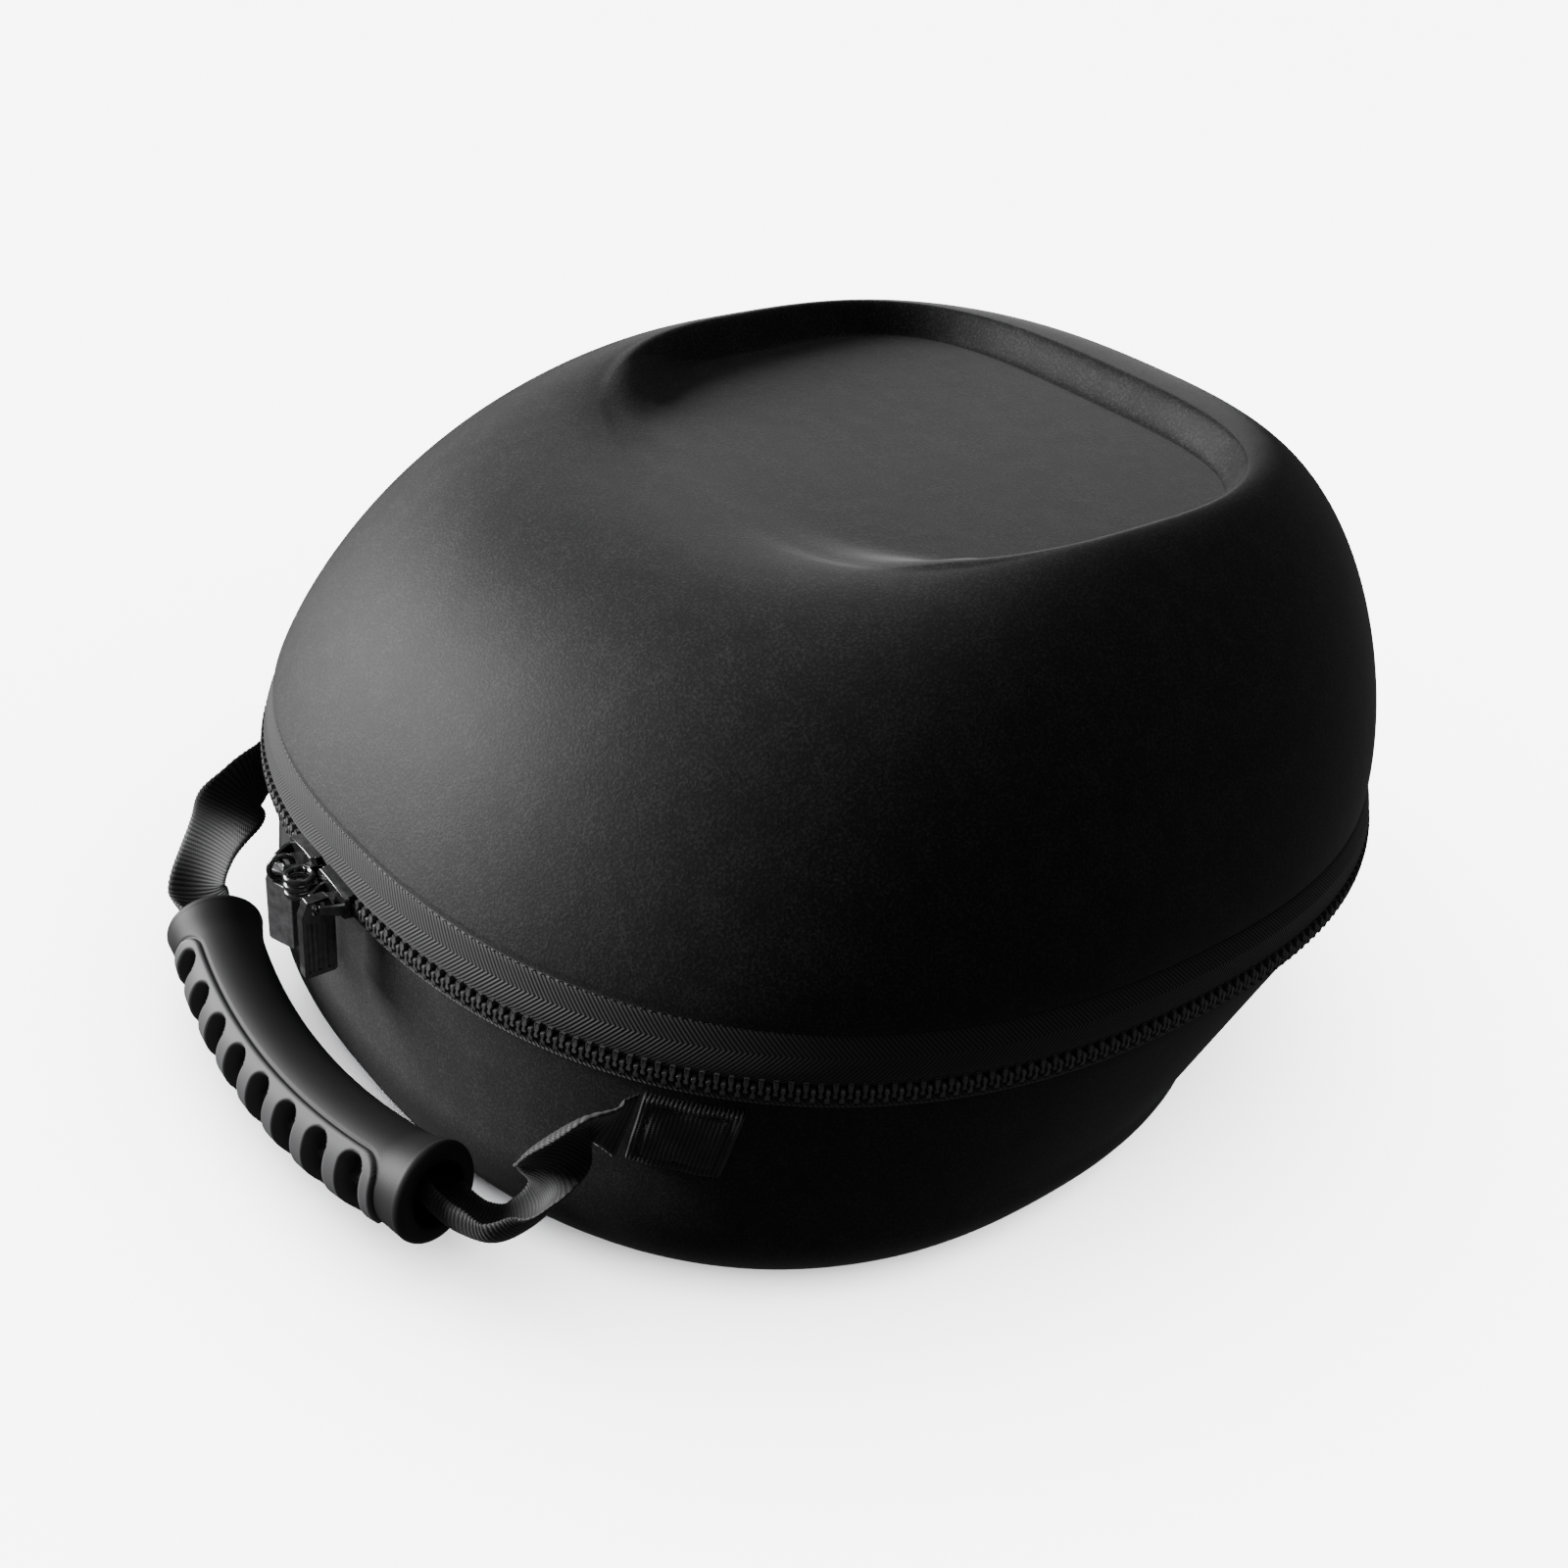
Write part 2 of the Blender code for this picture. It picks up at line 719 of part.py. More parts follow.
def grip_reach(angle, share):
    """Give the grip's radius at an angle from its outward side."""
    from_end = (1 - abs(share)) * grip_span / 2
    radius = grip_radius
    if from_end < cuff_length:
        radius += grip_cuff * math.sin(math.pi / 2 * (1 - from_end / cuff_length))
    turned = (angle + math.pi) % (2 * math.pi) - math.pi
    if abs(turned) < pad_half_angle + pad_edge_turn / 2 and from_end > pad_end:
        radius += pad_raise
    return radius


def build_grip(parts, cutters, material):
    """Grip: a bowed rubber bar with cuffs, a raised pad with slots, and a mouth at each end."""
    cuff_share = 1 - cuff_length * 2 / grip_span
    near = 1 - pad_end * 2 / grip_span
    outer_share = near + pad_edge_run / grip_span
    inner_share = near - pad_edge_run / grip_span
    ends = [1, (1 + cuff_share) / 2, outer_share, inner_share]
    shares = [-share for share in ends]
    shares += [inner_share * (2 * step / 12 - 1) for step in range(1, 12)]
    shares += reversed(ends)
    edge = pad_half_angle
    foot = edge + pad_edge_turn
    turns = [-foot, -edge, -edge * 2 / 3, -edge / 3, 0, edge / 3, edge * 2 / 3, edge, foot]
    rest = 2 * math.pi - 2 * foot
    turns += [foot + rest * step / 11 for step in range(1, 11)]
    sections = []
    for share in shares:
        centre = grip_centre(share)
        along, outward, up = grip_frame(share)
        section = []
        for turn in turns:
            reach = grip_reach(turn, share)
            section.append(centre + (outward * math.cos(turn) + up * math.sin(turn)) * reach)
        sections.append(section)
    mesh = tube_mesh("carry_grip", sections)
    shade(mesh)
    grip = finish_object("carry_grip", mesh, material, parts)
    for number in range(slot_count):
        x = (number - (slot_count - 1) / 2) * slot_pitch
        share = x / (grip_span / 2)
        centre = grip_centre(share)
        along, outward, up = grip_frame(share)
        profile = []
        half = slot_width / 2
        outer = grip_radius + pad_raise + cutter_over
        reach = math.sin(slot_half_angle) * (grip_radius + pad_raise)
        for quarter in range(2):
            for step in range(5):
                angle = -math.pi / 2 + math.pi * step / 4 + math.pi * quarter
                side = (reach - half) * (1 if quarter == 0 else -1)
                profile.append((math.sin(angle) * half, side + math.cos(angle) * half))
        floor = grip_radius + pad_raise - slot_depth
        rows = []
        for level in (floor, outer):
            rows.append([centre + outward * level + along * across + up * height for across, height in profile])
        cutter = tube_mesh("slot", rows)
        combine(grip, helper_object("slot", cutter, cutters), "DIFFERENCE")
    for sign in (-1, 1):
        centre = grip_centre(sign)
        along, outward, up = grip_frame(sign)
        rows = []
        for level in (-grip_mouth_depth, cutter_over):
            middle = centre + along * level * sign
            ring = []
            for step in range(mouth_sides):
                angle = 2 * math.pi * step / mouth_sides
                ring.append(middle + (outward * math.cos(angle) + up * math.sin(angle)) * grip_mouth_radius)
            rows.append(ring)
        cutter = tube_mesh("mouth", rows)
        combine(grip, helper_object("mouth", cutter, cutters), "DIFFERENCE")


def strap_start():
    """Give the corners of the right strap where it leaves the sewn end, and their middle."""
    middle, half = anchor_place(1)
    angle = middle - half - strap_start_gap / half_width
    top = wall_share(lip_height + anchor_drop)
    bottom = wall_share(lip_height + anchor_drop + webbing_width)
    corners = []
    for share, level in ((top, webbing_thickness), (top, 0.0), (bottom, 0.0), (bottom, webbing_thickness)):
        corners.append(lower_point(angle, share) + shell_outward(angle, share) * (seam_gap + level))
    centre = sum(corners, Vector()) / len(corners)
    return corners, centre


def build_straps(parts, material):
    """Free webbing from each sewn end, round and into the grip's mouth."""
    first, start = strap_start()
    along, outward, up = grip_frame(1)
    reach = grip_centre(1) + along * strap_clear - start
    centres = [start]
    for row in strap_sections:
        centres.append(start + Vector((reach.x * row["x"], reach.y * row["y"], reach.z * row["z"])))
    inside = grip_centre(1) - along * (grip_mouth_depth - seam_gap)
    sections = [first]
    for here, row in enumerate(strap_sections, 1):
        last = here == len(strap_sections)
        ahead = -along if last else (centres[here + 1] - centres[here - 1]).normalized()
        edge = Vector(row["edge"])
        edge = (edge - ahead * edge.dot(ahead)).normalized()
        wide = edge * webbing_width * row["width"] / 2
        deep = edge.cross(ahead) * webbing_thickness * row["thickness"] / 2
        middle = centres[here]
        sections.append([middle + wide + deep, middle + wide - deep, middle - wide - deep, middle - wide + deep])
    sections.append([point + inside - centres[-1] for point in sections[-1]])
    for name, sign in (("left_strap", -1), ("right_strap", 1)):
        mirrored = [[Vector((point.x * sign, point.y, point.z)) for point in section] for section in sections]
        mesh = tube_mesh(name, mirrored)
        shade(mesh)
        finish_object(name, mesh, material, parts)


def main():
    """Build the bag."""
    clear_scene()
    parts = make_collection("helmet_bag")
    cutters = make_collection("cutters")
    shell = make_material("shell_fabric", (0.020, 0.020, 0.021), 0.75)
    tape = make_material("zip_tape", (0.040, 0.040, 0.041), 0.80)
    teeth = make_material("zip_resin", (0.050, 0.050, 0.052), 0.40)
    metal = make_material("slider_metal", (0.030, 0.030, 0.032), 0.22, 0.8)
    webbing = make_material("webbing", (0.020, 0.020, 0.021), 0.70)
    rubber = make_material("grip_rubber", (0.070, 0.070, 0.072), 0.50)
    build_lid(parts, shell)
    build_lower_shell(parts, shell)
    build_zip(parts, tape, teeth, tape)
    frames = build_sliders(parts, cutters, metal)
    build_tabs(parts, cutters, metal, frames)
    build_anchors(parts, webbing)
    build_grip(parts, cutters, rubber)
    build_straps(parts, webbing)


main()
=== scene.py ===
"""Helmet bag, dressed: fabric shells, zip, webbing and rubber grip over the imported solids.

Units are metres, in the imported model's frame: +Z up, the front with the grip towards -Y.
"""
import bisect
import math

import bmesh
import bpy
from mathutils import Matrix, Vector


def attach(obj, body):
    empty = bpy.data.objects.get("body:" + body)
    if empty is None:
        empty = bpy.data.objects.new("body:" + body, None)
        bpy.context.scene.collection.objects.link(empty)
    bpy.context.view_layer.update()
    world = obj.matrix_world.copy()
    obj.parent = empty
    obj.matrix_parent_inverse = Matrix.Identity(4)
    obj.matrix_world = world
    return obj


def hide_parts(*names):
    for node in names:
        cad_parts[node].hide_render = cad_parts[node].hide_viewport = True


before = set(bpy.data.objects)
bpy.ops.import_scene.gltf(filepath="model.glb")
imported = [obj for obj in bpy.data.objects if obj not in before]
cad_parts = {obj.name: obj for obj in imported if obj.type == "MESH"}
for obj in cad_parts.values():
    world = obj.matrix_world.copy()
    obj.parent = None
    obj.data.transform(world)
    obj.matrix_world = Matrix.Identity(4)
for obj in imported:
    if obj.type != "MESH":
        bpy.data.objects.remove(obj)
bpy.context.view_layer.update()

# Sizes of the case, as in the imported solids
half_width = 0.150
half_length = 0.157
outline_squareness = 2.32
zip_height = 0.073
dome_rise = 0.0813
lip_height = 0.0030
bottom_corner = 0.0220
panel_depth = 0.0095
panel_front_depth = 0.0005
upper_tape_inset = 0.0033
lower_tape_inset = 0.0036
lid_edge_z = 0.0867
lower_edge_z = 0.0670
soft_wall = 0.0420
tuck_inset = 0.0040
lid_tuck_heights = (0.0060, 0.0018)
lid_edge_radius = 0.0011
lid_edge_gap = 0.0003
lower_edge_radius = 0.0009
chain_half = 0.0030
hinge_width = 0.170
slider_meeting_x = -0.0100

lid_profiles = {
    "front": {"rise": 0.85, "turn_in": 0.71, "climb": 1.93},
    "side": {"rise": 0.995, "turn_in": 1.50, "climb": 1.29},
    "back": {"rise": 1.00, "turn_in": 0.86, "climb": 0.85},
}
plan_rings = {
    "crest": {"width": 0.565, "front": 0.350, "back": 0.640, "squareness": 2.9},
    "floor": {"width": 0.515, "front": 0.315, "back": 0.580, "squareness": 3.8},
    "waist": {"width": 0.930, "front": 0.990, "back": 0.640, "squareness": 2.32},
}

# Steps of the shells' meshes
shell_columns = 288
lid_edge_rows = 5
dome_rows = 44
panel_wall_rows = 16
panel_floor_rows = 25
bottom_shares = (0.2, 0.4, 0.6, 0.8, 0.95)
corner_rows = 12
lower_wall_rows = 12
lower_edge_rows = 4

# Zip detail
tape_step = 0.0022
tape_top = 0.0112
tape_middle = 0.0062
tape_weave_pitch = 0.00125
# Across value that marks the tape behind the teeth, where its colour is painted black as painted shade
teeth_shade_mark = 1.0
cloth_weave_pitch = 0.0009
hinge_overlap = 0.010
hinge_columns = 80
hinge_bulge = 0.0040
seam_pitch = 0.0024
seam_half = 0.00095
upper_thread = 0.00034
lower_thread = 0.00030
unit = 0.001
tooth_pitch = 0.0034
tooth_outline = ((-0.42, -1.12), (0.42, -1.12), (0.62, -0.88), (0.62, -0.20), (0.36, 0.06), (0.36, 1.10),
                 (0.64, 1.36), (0.60, 3.00), (-0.60, 3.00), (-0.64, 1.36), (-0.36, 1.10), (-0.36, 0.06),
                 (-0.62, -0.20), (-0.62, -0.88))
tooth_reach = 0.0110

# Webbing
webbing_width = 0.0200
webbing_thickness = 0.0014
rib_pitch = 0.00112
rib_step = rib_pitch / 6
rib_height = 0.00020
rib_spread = 0.0004
twist_pitch = 0.0007
strip_columns = 14
strap_samples = 600
anchor_x = 0.1040
anchor_length = 0.0250
anchor_drop = 0.0012
patch_levels = 26
patch_rise = 0.0021
box_side = 0.0026
box_top = 0.0024
edge_line = 0.0011
patch_stitch = 0.0026
patch_thread = 0.00032
patch_stitch_lift = 0.0016
tail_thread = 0.00018

# Grip
grip_span = 0.1260
grip_bow = 0.0105
grip_out = 0.0095
grip_drop = 0.0465
grip_lean = math.radians(30)
grip_radius = 0.0118
grip_cuff = 0.0014
cuff_length = 0.0120
pad_raise = 0.0010
pad_half_angle = math.radians(56)
pad_end = 0.0105
slot_count = 8
slot_pitch = 0.0129
slot_width = 0.0068
slot_half_angle = math.radians(46)
slot_depth = 0.0052
mouth_radius = 0.0080
mouth_depth = 0.0095
grip_lip = 0.0022
grip_columns = 176
grip_rows = 264
core_radius = 0.0077
core_columns = 30

# Sliders and tabs
slider_length = 0.0150
slider_height = 0.0092
nose_gap = 0.0010
crown_face = -0.0028
plate_thickness = 0.0016
crown_stand = 0.0050
crown_offset = 0.0015
lock_ring_radius = 0.0033
lock_ring_wire = 0.0008
lock_ring_pitch = 0.0023
link_radius = 0.0032
link_wire = 0.0008
tab_length = 0.0235
tab_width = 0.0090
tab_thickness = 0.0030
tab_eye = 0.0034
left_tab_turn = math.radians(24)
groove_half = 0.0006
groove_depth = 0.00035
crown_wire = 0.0009
crown_gap = 0.0003


def ease(value):
    """Go smoothly from 0 to 1."""
    value = min(max(value, 0.0), 1.0)
    return value * value * (3 - 2 * value)


def signed_power(value, power):
    """Raise the size of a number to a power and keep its sign."""
    return math.copysign(abs(value) ** power, value)


def plan_point(angle, width, front, back, squareness):
    """Give a point of a squared oval by its angle from the front."""
    middle = (back - front) / 2
    reach = (back + front) / 2
    x = width * signed_power(math.sin(angle), 2 / squareness)
    y = middle - reach * signed_power(math.cos(angle), 2 / squareness)
    return Vector((x, y, 0.0))


def outline_point(angle, inset=0.0):
    """Give a point of the zip line, moved inwards by the inset."""
    point = plan_point(angle, half_width, half_length, half_length, outline_squareness)
    return point * (1 - inset / point.length)


def ring_point(kind, angle):
    """Give a point of one of the named plan rings."""
    row = plan_rings[kind]
    return plan_point(angle, row["width"] * half_width, row["front"] * half_length,
                      row["back"] * half_length, row["squareness"])


def ring_middle(kind):
    """Give the y halfway between the front and the back of a plan ring."""
    return (plan_rings[kind]["back"] - plan_rings[kind]["front"]) / 2 * half_length


def circle(count):
    """Give equal steps round a full turn."""
    return [2 * math.pi * step / count for step in range(count)]


def outline_row(angles, inset, z):
    """Give the zip line at some angles, moved inwards by the inset, at a height."""
    return [outline_point(angle, inset) + Vector((0, 0, z)) for angle in angles]


def lid_blend(angle, column):
    """Mix a column of the lid's profiles by direction."""
    along = math.cos(angle) ** 2
    end = "front" if math.cos(angle) > 0 else "back"
    return along * lid_profiles[end][column] + (1 - along) * lid_profiles["side"][column]


def crest_z(angle):
    """Give the height of the lid's crest in a direction."""
    return lid_edge_z + lip_height + lid_blend(angle, "rise") * dome_rise


def lid_point(angle, quarter):
    """Give a point of the lid's outside, quarter 0 at the lip and 1 at the crest."""
    turn = quarter * math.pi / 2
    inward = 1 - max(math.cos(turn), 0.0) ** lid_blend(angle, "turn_in")
    climb = math.sin(turn) ** lid_blend(angle, "climb")
    point = outline_point(angle, upper_tape_inset).lerp(ring_point("crest", angle), inward)
    lip_top = lid_edge_z + lip_height
    point.z = lip_top + (crest_z(angle) - lip_top) * climb
    return point


def panel_z(y):
    """Give the height of the sunken panel."""
    back_y = plan_rings["floor"]["back"] * half_length
    front_y = -plan_rings["crest"]["front"] * half_length
    deep_z = crest_z(math.pi) - panel_depth
    shallow_z = crest_z(0.0) - panel_front_depth
    return deep_z + (shallow_z - deep_z) * (back_y - y) / (back_y - front_y)


def lower_point(angle, share):
    """Give a point of the lower shell's straight wall, share 0 at the lip and 1 at the corner."""
    point = outline_point(angle, lower_tape_inset).lerp(ring_point("waist", angle), share)
    lip_bottom = lower_edge_z - lip_height
    point.z = lip_bottom + (bottom_corner - lip_bottom) * share
    return point


def shell_outward(angle, share):
    """Give the lower shell's outward direction at a place on its wall."""
    step = 0.01
    along = lower_point(angle + step, share) - lower_point(angle - step, share)
    up = lower_point(angle, max(share - step, 0)) - lower_point(angle, share + step)
    return along.cross(up).normalized()


def angle_at_x(x):
    """Give the angle, on the front half, where the zip line has a given x."""
    return math.asin(signed_power(x / half_width, outline_squareness / 2))


hinge_angle = math.pi - angle_at_x(hinge_width / 2)


# Distances along the zip line, from the front middle
run_steps = 2400
run_angles = [2 * math.pi * step / run_steps - math.pi for step in range(run_steps + 1)]
run_lengths = [0.0]
for first, second in zip(run_angles, run_angles[1:]):
    run_lengths.append(run_lengths[-1] + (outline_point(second) - outline_point(first)).length)
front_run = run_lengths[run_steps // 2]


def run_at(angle):
    """Give the distance along the zip line at an angle between -pi and pi, 0 in front."""
    place = (angle + math.pi) / (2 * math.pi) * run_steps
    low = min(int(place), run_steps - 1)
    return run_lengths[low] + (run_lengths[low + 1] - run_lengths[low]) * (place - low) - front_run


def angle_at_run(run):
    """Give the angle at a distance along the zip line from the front."""
    run += front_run
    high = min(max(bisect.bisect_left(run_lengths, run), 1), run_steps)
    share = (run - run_lengths[high - 1]) / (run_lengths[high] - run_lengths[high - 1])
    return run_angles[high - 1] + (run_angles[high] - run_angles[high - 1]) * share


def zip_frame(angle):
    """Give the place on the zip line with the directions along it and outwards."""
    place = outline_point(angle)
    step = 0.001
    along = (outline_point(angle + step) - outline_point(angle - step)).normalized()
    place.z = zip_height
    return place, along, along.cross(Vector((0, 0, 1))).normalized()


def frame_matrix(place, along, outward):
    """Local X along the zip line, local -Y outwards and local Z up."""
    matrix = Matrix((along, -outward, Vector((0, 0, 1)))).transposed().to_4x4()
    matrix.translation = place
    return matrix


# Materials


def feed(tree, socket, value):
    """Link a socket to a socket, or give it a plain value."""
    if isinstance(value, bpy.types.NodeSocket):
        tree.links.new(value, socket)
    else:
        socket.default_value = value


def maths(tree, operation, first, second=0.0):
    """Add a math node."""
    node = tree.nodes.new("ShaderNodeMath")
    node.operation = operation
    feed(tree, node.inputs[0], first)
    feed(tree, node.inputs[1], second)
    return node.outputs[0]


def place_coords(tree):
    """Give coordinates fixed to the object."""
    return tree.nodes.new("ShaderNodeTexCoord").outputs["Object"]


def run_coords(tree):
    """Give the distances along and across a band, in metres."""
    node = tree.nodes.new("ShaderNodeUVMap")
    node.uv_map = "run"
    split = tree.nodes.new("ShaderNodeSeparateXYZ")
    tree.links.new(node.outputs[0], split.inputs[0])
    return split.outputs[0], split.outputs[1]


def noise(tree, coords, scale, detail=2.0, roughness=0.5):
    """Add noise, in features per metre."""
    node = tree.nodes.new("ShaderNodeTexNoise")
    tree.links.new(coords, node.inputs["Vector"])
    node.inputs["Scale"].default_value = scale
    node.inputs["Detail"].default_value = detail
    node.inputs["Roughness"].default_value = roughness
    return node.outputs["Fac"]


def ramp(tree, value, stops):
    """Turn a value into a grey by stops of place and grey."""
    node = tree.nodes.new("ShaderNodeValToRGB")
    tree.links.new(value, node.inputs[0])
    elements = node.color_ramp.elements
    while len(elements) < len(stops):
        elements.new(0.5)
    for element, (place, grey) in zip(elements, stops):
        element.position = place
        element.color = (grey, grey, grey * 1.03, 1.0)
    return node.outputs[0]


def bump(tree, height, distance, strength=1.0, under=None):
    """Add a bump over another one."""
    node = tree.nodes.new("ShaderNodeBump")
    node.inputs["Distance"].default_value = distance
    node.inputs["Strength"].default_value = strength
    tree.links.new(height, node.inputs["Height"])
    if under is not None:
        tree.links.new(under, node.inputs["Normal"])
    return node.outputs[0]


def new_material(name, **plain):
    """Make a material and set its shader's plain values."""
    material = bpy.data.materials.new(name)
    material.use_nodes = True
    shader = material.node_tree.nodes["Principled BSDF"]
    for key, value in plain.items():
        shader.inputs[key.replace("_", " ")].default_value = value
    return material, material.node_tree, shader


def wave(tree, value, pitch):
    """Give a sine wave along a value by its pitch."""
    return maths(tree, "SINE", maths(tree, "MULTIPLY", value, 2 * math.pi / pitch))


def raised(tree, value):
    """Move a wave from between -1 and 1 to between 0 and 1."""
    return maths(tree, "ADD", maths(tree, "MULTIPLY", value, 0.5), 0.5)


def mix_values(tree, first, second, share):
    """Mix two values, the second by its share."""
    kept = maths(tree, "MULTIPLY", first, 1 - share)
    return maths(tree, "ADD", kept, maths(tree, "MULTIPLY", second, share))


def finish_look(tree, shader, grey, stops, *bumps):
    """Colour a shader by stops, with bumps of height, distance and strength one over another."""
    tree.links.new(ramp(tree, grey, stops), shader.inputs["Base Color"])
    normal = None
    for height, distance, strength in bumps:
        normal = bump(tree, height, distance, strength, normal)
    if normal is not None:
        tree.links.new(normal, shader.inputs["Normal"])


def make_clouded(name, cloud, stops, grain=None, **plain):
    """Material with soft clouds of grey, and a fine grain of scale, distance and strength."""
    material, tree, shader = new_material(name, **plain)
    coords = place_coords(tree)
    bumps = [(noise(tree, coords, grain[0]), grain[1], grain[2])] if grain else []
    finish_look(tree, shader, noise(tree, coords, cloud), stops, *bumps)
    return material


def make_shell_fabric():
    """Black brushed fabric laminated over foam: fine grain and faint mottling."""
    material, tree, shader = new_material("dressed_shell_fabric", Roughness=0.62, Sheen_Weight=0.20,
                                          Sheen_Roughness=0.42, Specular_IOR_Level=0.22)
    coords = place_coords(tree)
    grain = noise(tree, coords, 1500, 3.0, 0.65)
    mottle = noise(tree, coords, 120, 3.0, 0.6)
    stops = ((0.40, 0.0012), (0.50, 0.0050), (0.62, 0.023))
    finish_look(tree, shader, mix_values(tree, grain, mottle, 0.2), stops,
                (mottle, 0.00025, 0.35), (grain, 0.00022, 0.45))
    return material


def make_tape():
    """Woven zip tape: herringbone bands with a middle line, painted black behind the teeth as painted shade
    in the gaps between them.
    """
    material, tree, shader = new_material("dressed_zip_tape", Roughness=0.66, Sheen_Weight=0.25,
                                          Sheen_Roughness=0.4, Specular_IOR_Level=0.3)
    along, across = run_coords(tree)
    from_middle = maths(tree, "ABSOLUTE", maths(tree, "SUBTRACT", across, tape_middle))
    height = raised(tree, wave(tree, maths(tree, "ADD", along, from_middle), tape_weave_pitch))
    thread = noise(tree, place_coords(tree), 2600)
    # Painted shade: the tape goes black behind the teeth, where the gaps between them fall in shade.
    outside_teeth_shade = maths(tree, "LESS_THAN", across, teeth_shade_mark / 2)
    weave = maths(tree, "MULTIPLY", mix_values(tree, height, thread, 0.25), outside_teeth_shade)
    finish_look(tree, shader, weave, ((0.08, 0.0012), (0.50, 0.022), (0.92, 0.042)),
                (thread, 0.0001, 0.4), (height, 0.00022, 0.8))
    return material


def make_cloth():
    """Plain woven hinge cloth."""
    material, tree, shader = new_material("dressed_hinge_cloth", Roughness=0.7, Sheen_Weight=0.2,
                                          Sheen_Roughness=0.4, Specular_IOR_Level=0.25)
    along, across = run_coords(tree)
    warp = wave(tree, along, cloth_weave_pitch)
    height = raised(tree, maths(tree, "MULTIPLY", warp, wave(tree, across, cloth_weave_pitch)))
    finish_look(tree, shader, height, ((0.1, 0.006), (0.9, 0.020)), (height, 0.0002, 0.7))
    return material


def make_metal(name, grey, roughness):
    """Black enamelled cast metal."""
    return make_clouded(name, 500, ((0.3, grey * 0.7), (0.7, grey * 1.3)), (900, 0.00004, 0.5),
                        Metallic=0.85, Roughness=roughness, Coat_Weight=0.4, Coat_Roughness=0.08)


def make_webbing():
    """Ribbed webbing: the ribs are in the mesh, the threads along them in the bump, and painted shade
    darkens the colour in the valleys between the ribs.
    """
    material, tree, shader = new_material("dressed_webbing", Roughness=0.60, Sheen_Weight=0.22,
                                          Sheen_Roughness=0.4, Specular_IOR_Level=0.35)
    along, across = run_coords(tree)
    # Painted shade: the colour follows the ribs and goes dark in the valleys between them.
    rib_valley_shade = maths(tree, "ABSOLUTE", wave(tree, along, 2 * rib_pitch))
    twist = wave(tree, maths(tree, "ADD", across, along), twist_pitch)
    fuzz = noise(tree, place_coords(tree), 2400)
    stops = ((0.15, 0.004), (0.55, 0.020), (0.95, 0.042))
    finish_look(tree, shader, mix_values(tree, rib_valley_shade, fuzz, 0.25), stops,
                (fuzz, 0.00008, 0.4), (twist, 0.00006, 0.5))
    return material


def make_rubber():
    """Moulded grip: black rubber with a grey pad, a faint satin grain, and painted light: a pale highlight
    along the pad's rim and lighter outward sides of the cuffs.
    """
    material, tree, shader = new_material("dressed_grip_rubber", Roughness=0.55, Specular_IOR_Level=0.3)
    coords = place_coords(tree)
    cloud = maths(tree, "ADD", maths(tree, "MULTIPLY", noise(tree, coords, 140, 3.0), 0.3), 0.85)
    shade = maths(tree, "MULTIPLY", run_coords(tree)[0], cloud)
    finish_look(tree, shader, shade, ((0.0, 0.008), (0.5, 0.085), (1.0, 0.20)),
                (noise(tree, coords, 2600), 0.00005, 0.5))
    return material


# Mesh helpers


def grid_mesh(name, rows, closed=False, uvs=None, first_cap=None, last_cap=None):
    """Join rows of points; a closed grid joins each row's end to its start."""
    count = len(rows[0])
    points = [point for row in rows for point in row]
    faces = []
    corners = []
    for low in range(len(rows) - 1):
        for here in range(count if closed else count - 1):
            after = (here + 1) % count
            faces.append((low * count + here, low * count + after,
                          (low + 1) * count + after, (low + 1) * count + here))
            if uvs:
                corners.extend((*uvs[low][here:here + 2], *reversed(uvs[low + 1][here:here + 2])))
    for cap, base, turned in ((first_cap, 0, True), (last_cap, (len(rows) - 1) * count, False)):
        if cap is None:
            continue
        points.append(cap)
        tip = len(points) - 1
        for here in range(count):
            after = (here + 1) % count
            pair = (base + after, base + here) if turned else (base + here, base + after)
            faces.append((*pair, tip))
            if uvs:
                corners.extend(((0.0, 0.0), (0.0, 0.0), (0.0, 0.0)))
    mesh = bpy.data.meshes.new(name)
    mesh.from_pydata([tuple(point) for point in points], [], faces)
    if uvs:
        layer = mesh.uv_layers.new(name="run")
        layer.data.foreach_set("uv", [value for corner in corners for value in corner])
    mesh.shade_smooth()
    return mesh


def dress(name, mesh, material, body, slot, *nodes):
    """Put a piece in the scene, on its body, in place of its nodes."""
    mesh.materials.append(material)
    piece = bpy.data.objects.new(name, mesh)
    bpy.context.scene.collection.objects.link(piece)
    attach(piece, body)
    if nodes:
        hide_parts(*nodes)
    return piece


def from_form(name, form, sharp=None):
    """Turn a bmesh into a smooth-shaded mesh."""
    bmesh.ops.recalc_face_normals(form, faces=form.faces)
    mesh = bpy.data.meshes.new(name)
    form.to_mesh(mesh)
    form.free()
    mesh.shade_smooth()
    if sharp is not None:
        mesh.set_sharp_from_angle(angle=math.radians(sharp))
    return mesh


def add_box(form, low, high, matrix=Matrix.Identity(4)):
    """Add a box to a form."""
    low = Vector(low)
    high = Vector(high)
    place = matrix @ Matrix.Translation((low + high) / 2) @ Matrix.Diagonal((*(high - low), 1.0))
    bmesh.ops.create_cube(form, size=1.0, matrix=place)


def add_plate(form, outline, near, far, facing, matrix=Matrix.Identity(4)):
    """Add an extruded outline of across and up, facing Y or X."""
    sections = []
    for depth in (near, far):
        points = [(across, depth, up) if facing == "Y" else (depth, across, up) for across, up in outline]
        sections.append([matrix @ Vector(point) for point in points])
    add_tube(form, sections)


def add_tube(form, sections, closed=False):
    """Add a tube through closed sections."""
    rows = [[form.verts.new(point) for point in section] for section in sections]
    pairs = list(zip(rows, rows[1:]))
    if closed:
        pairs.append((rows[-1], rows[0]))
    for near, far in pairs:
        for here in range(len(near)):
            after = (here + 1) % len(near)
            form.faces.new((near[here], near[after], far[after], far[here]))
    if not closed:
        form.faces.new(list(reversed(rows[0])))
        form.faces.new(rows[-1])


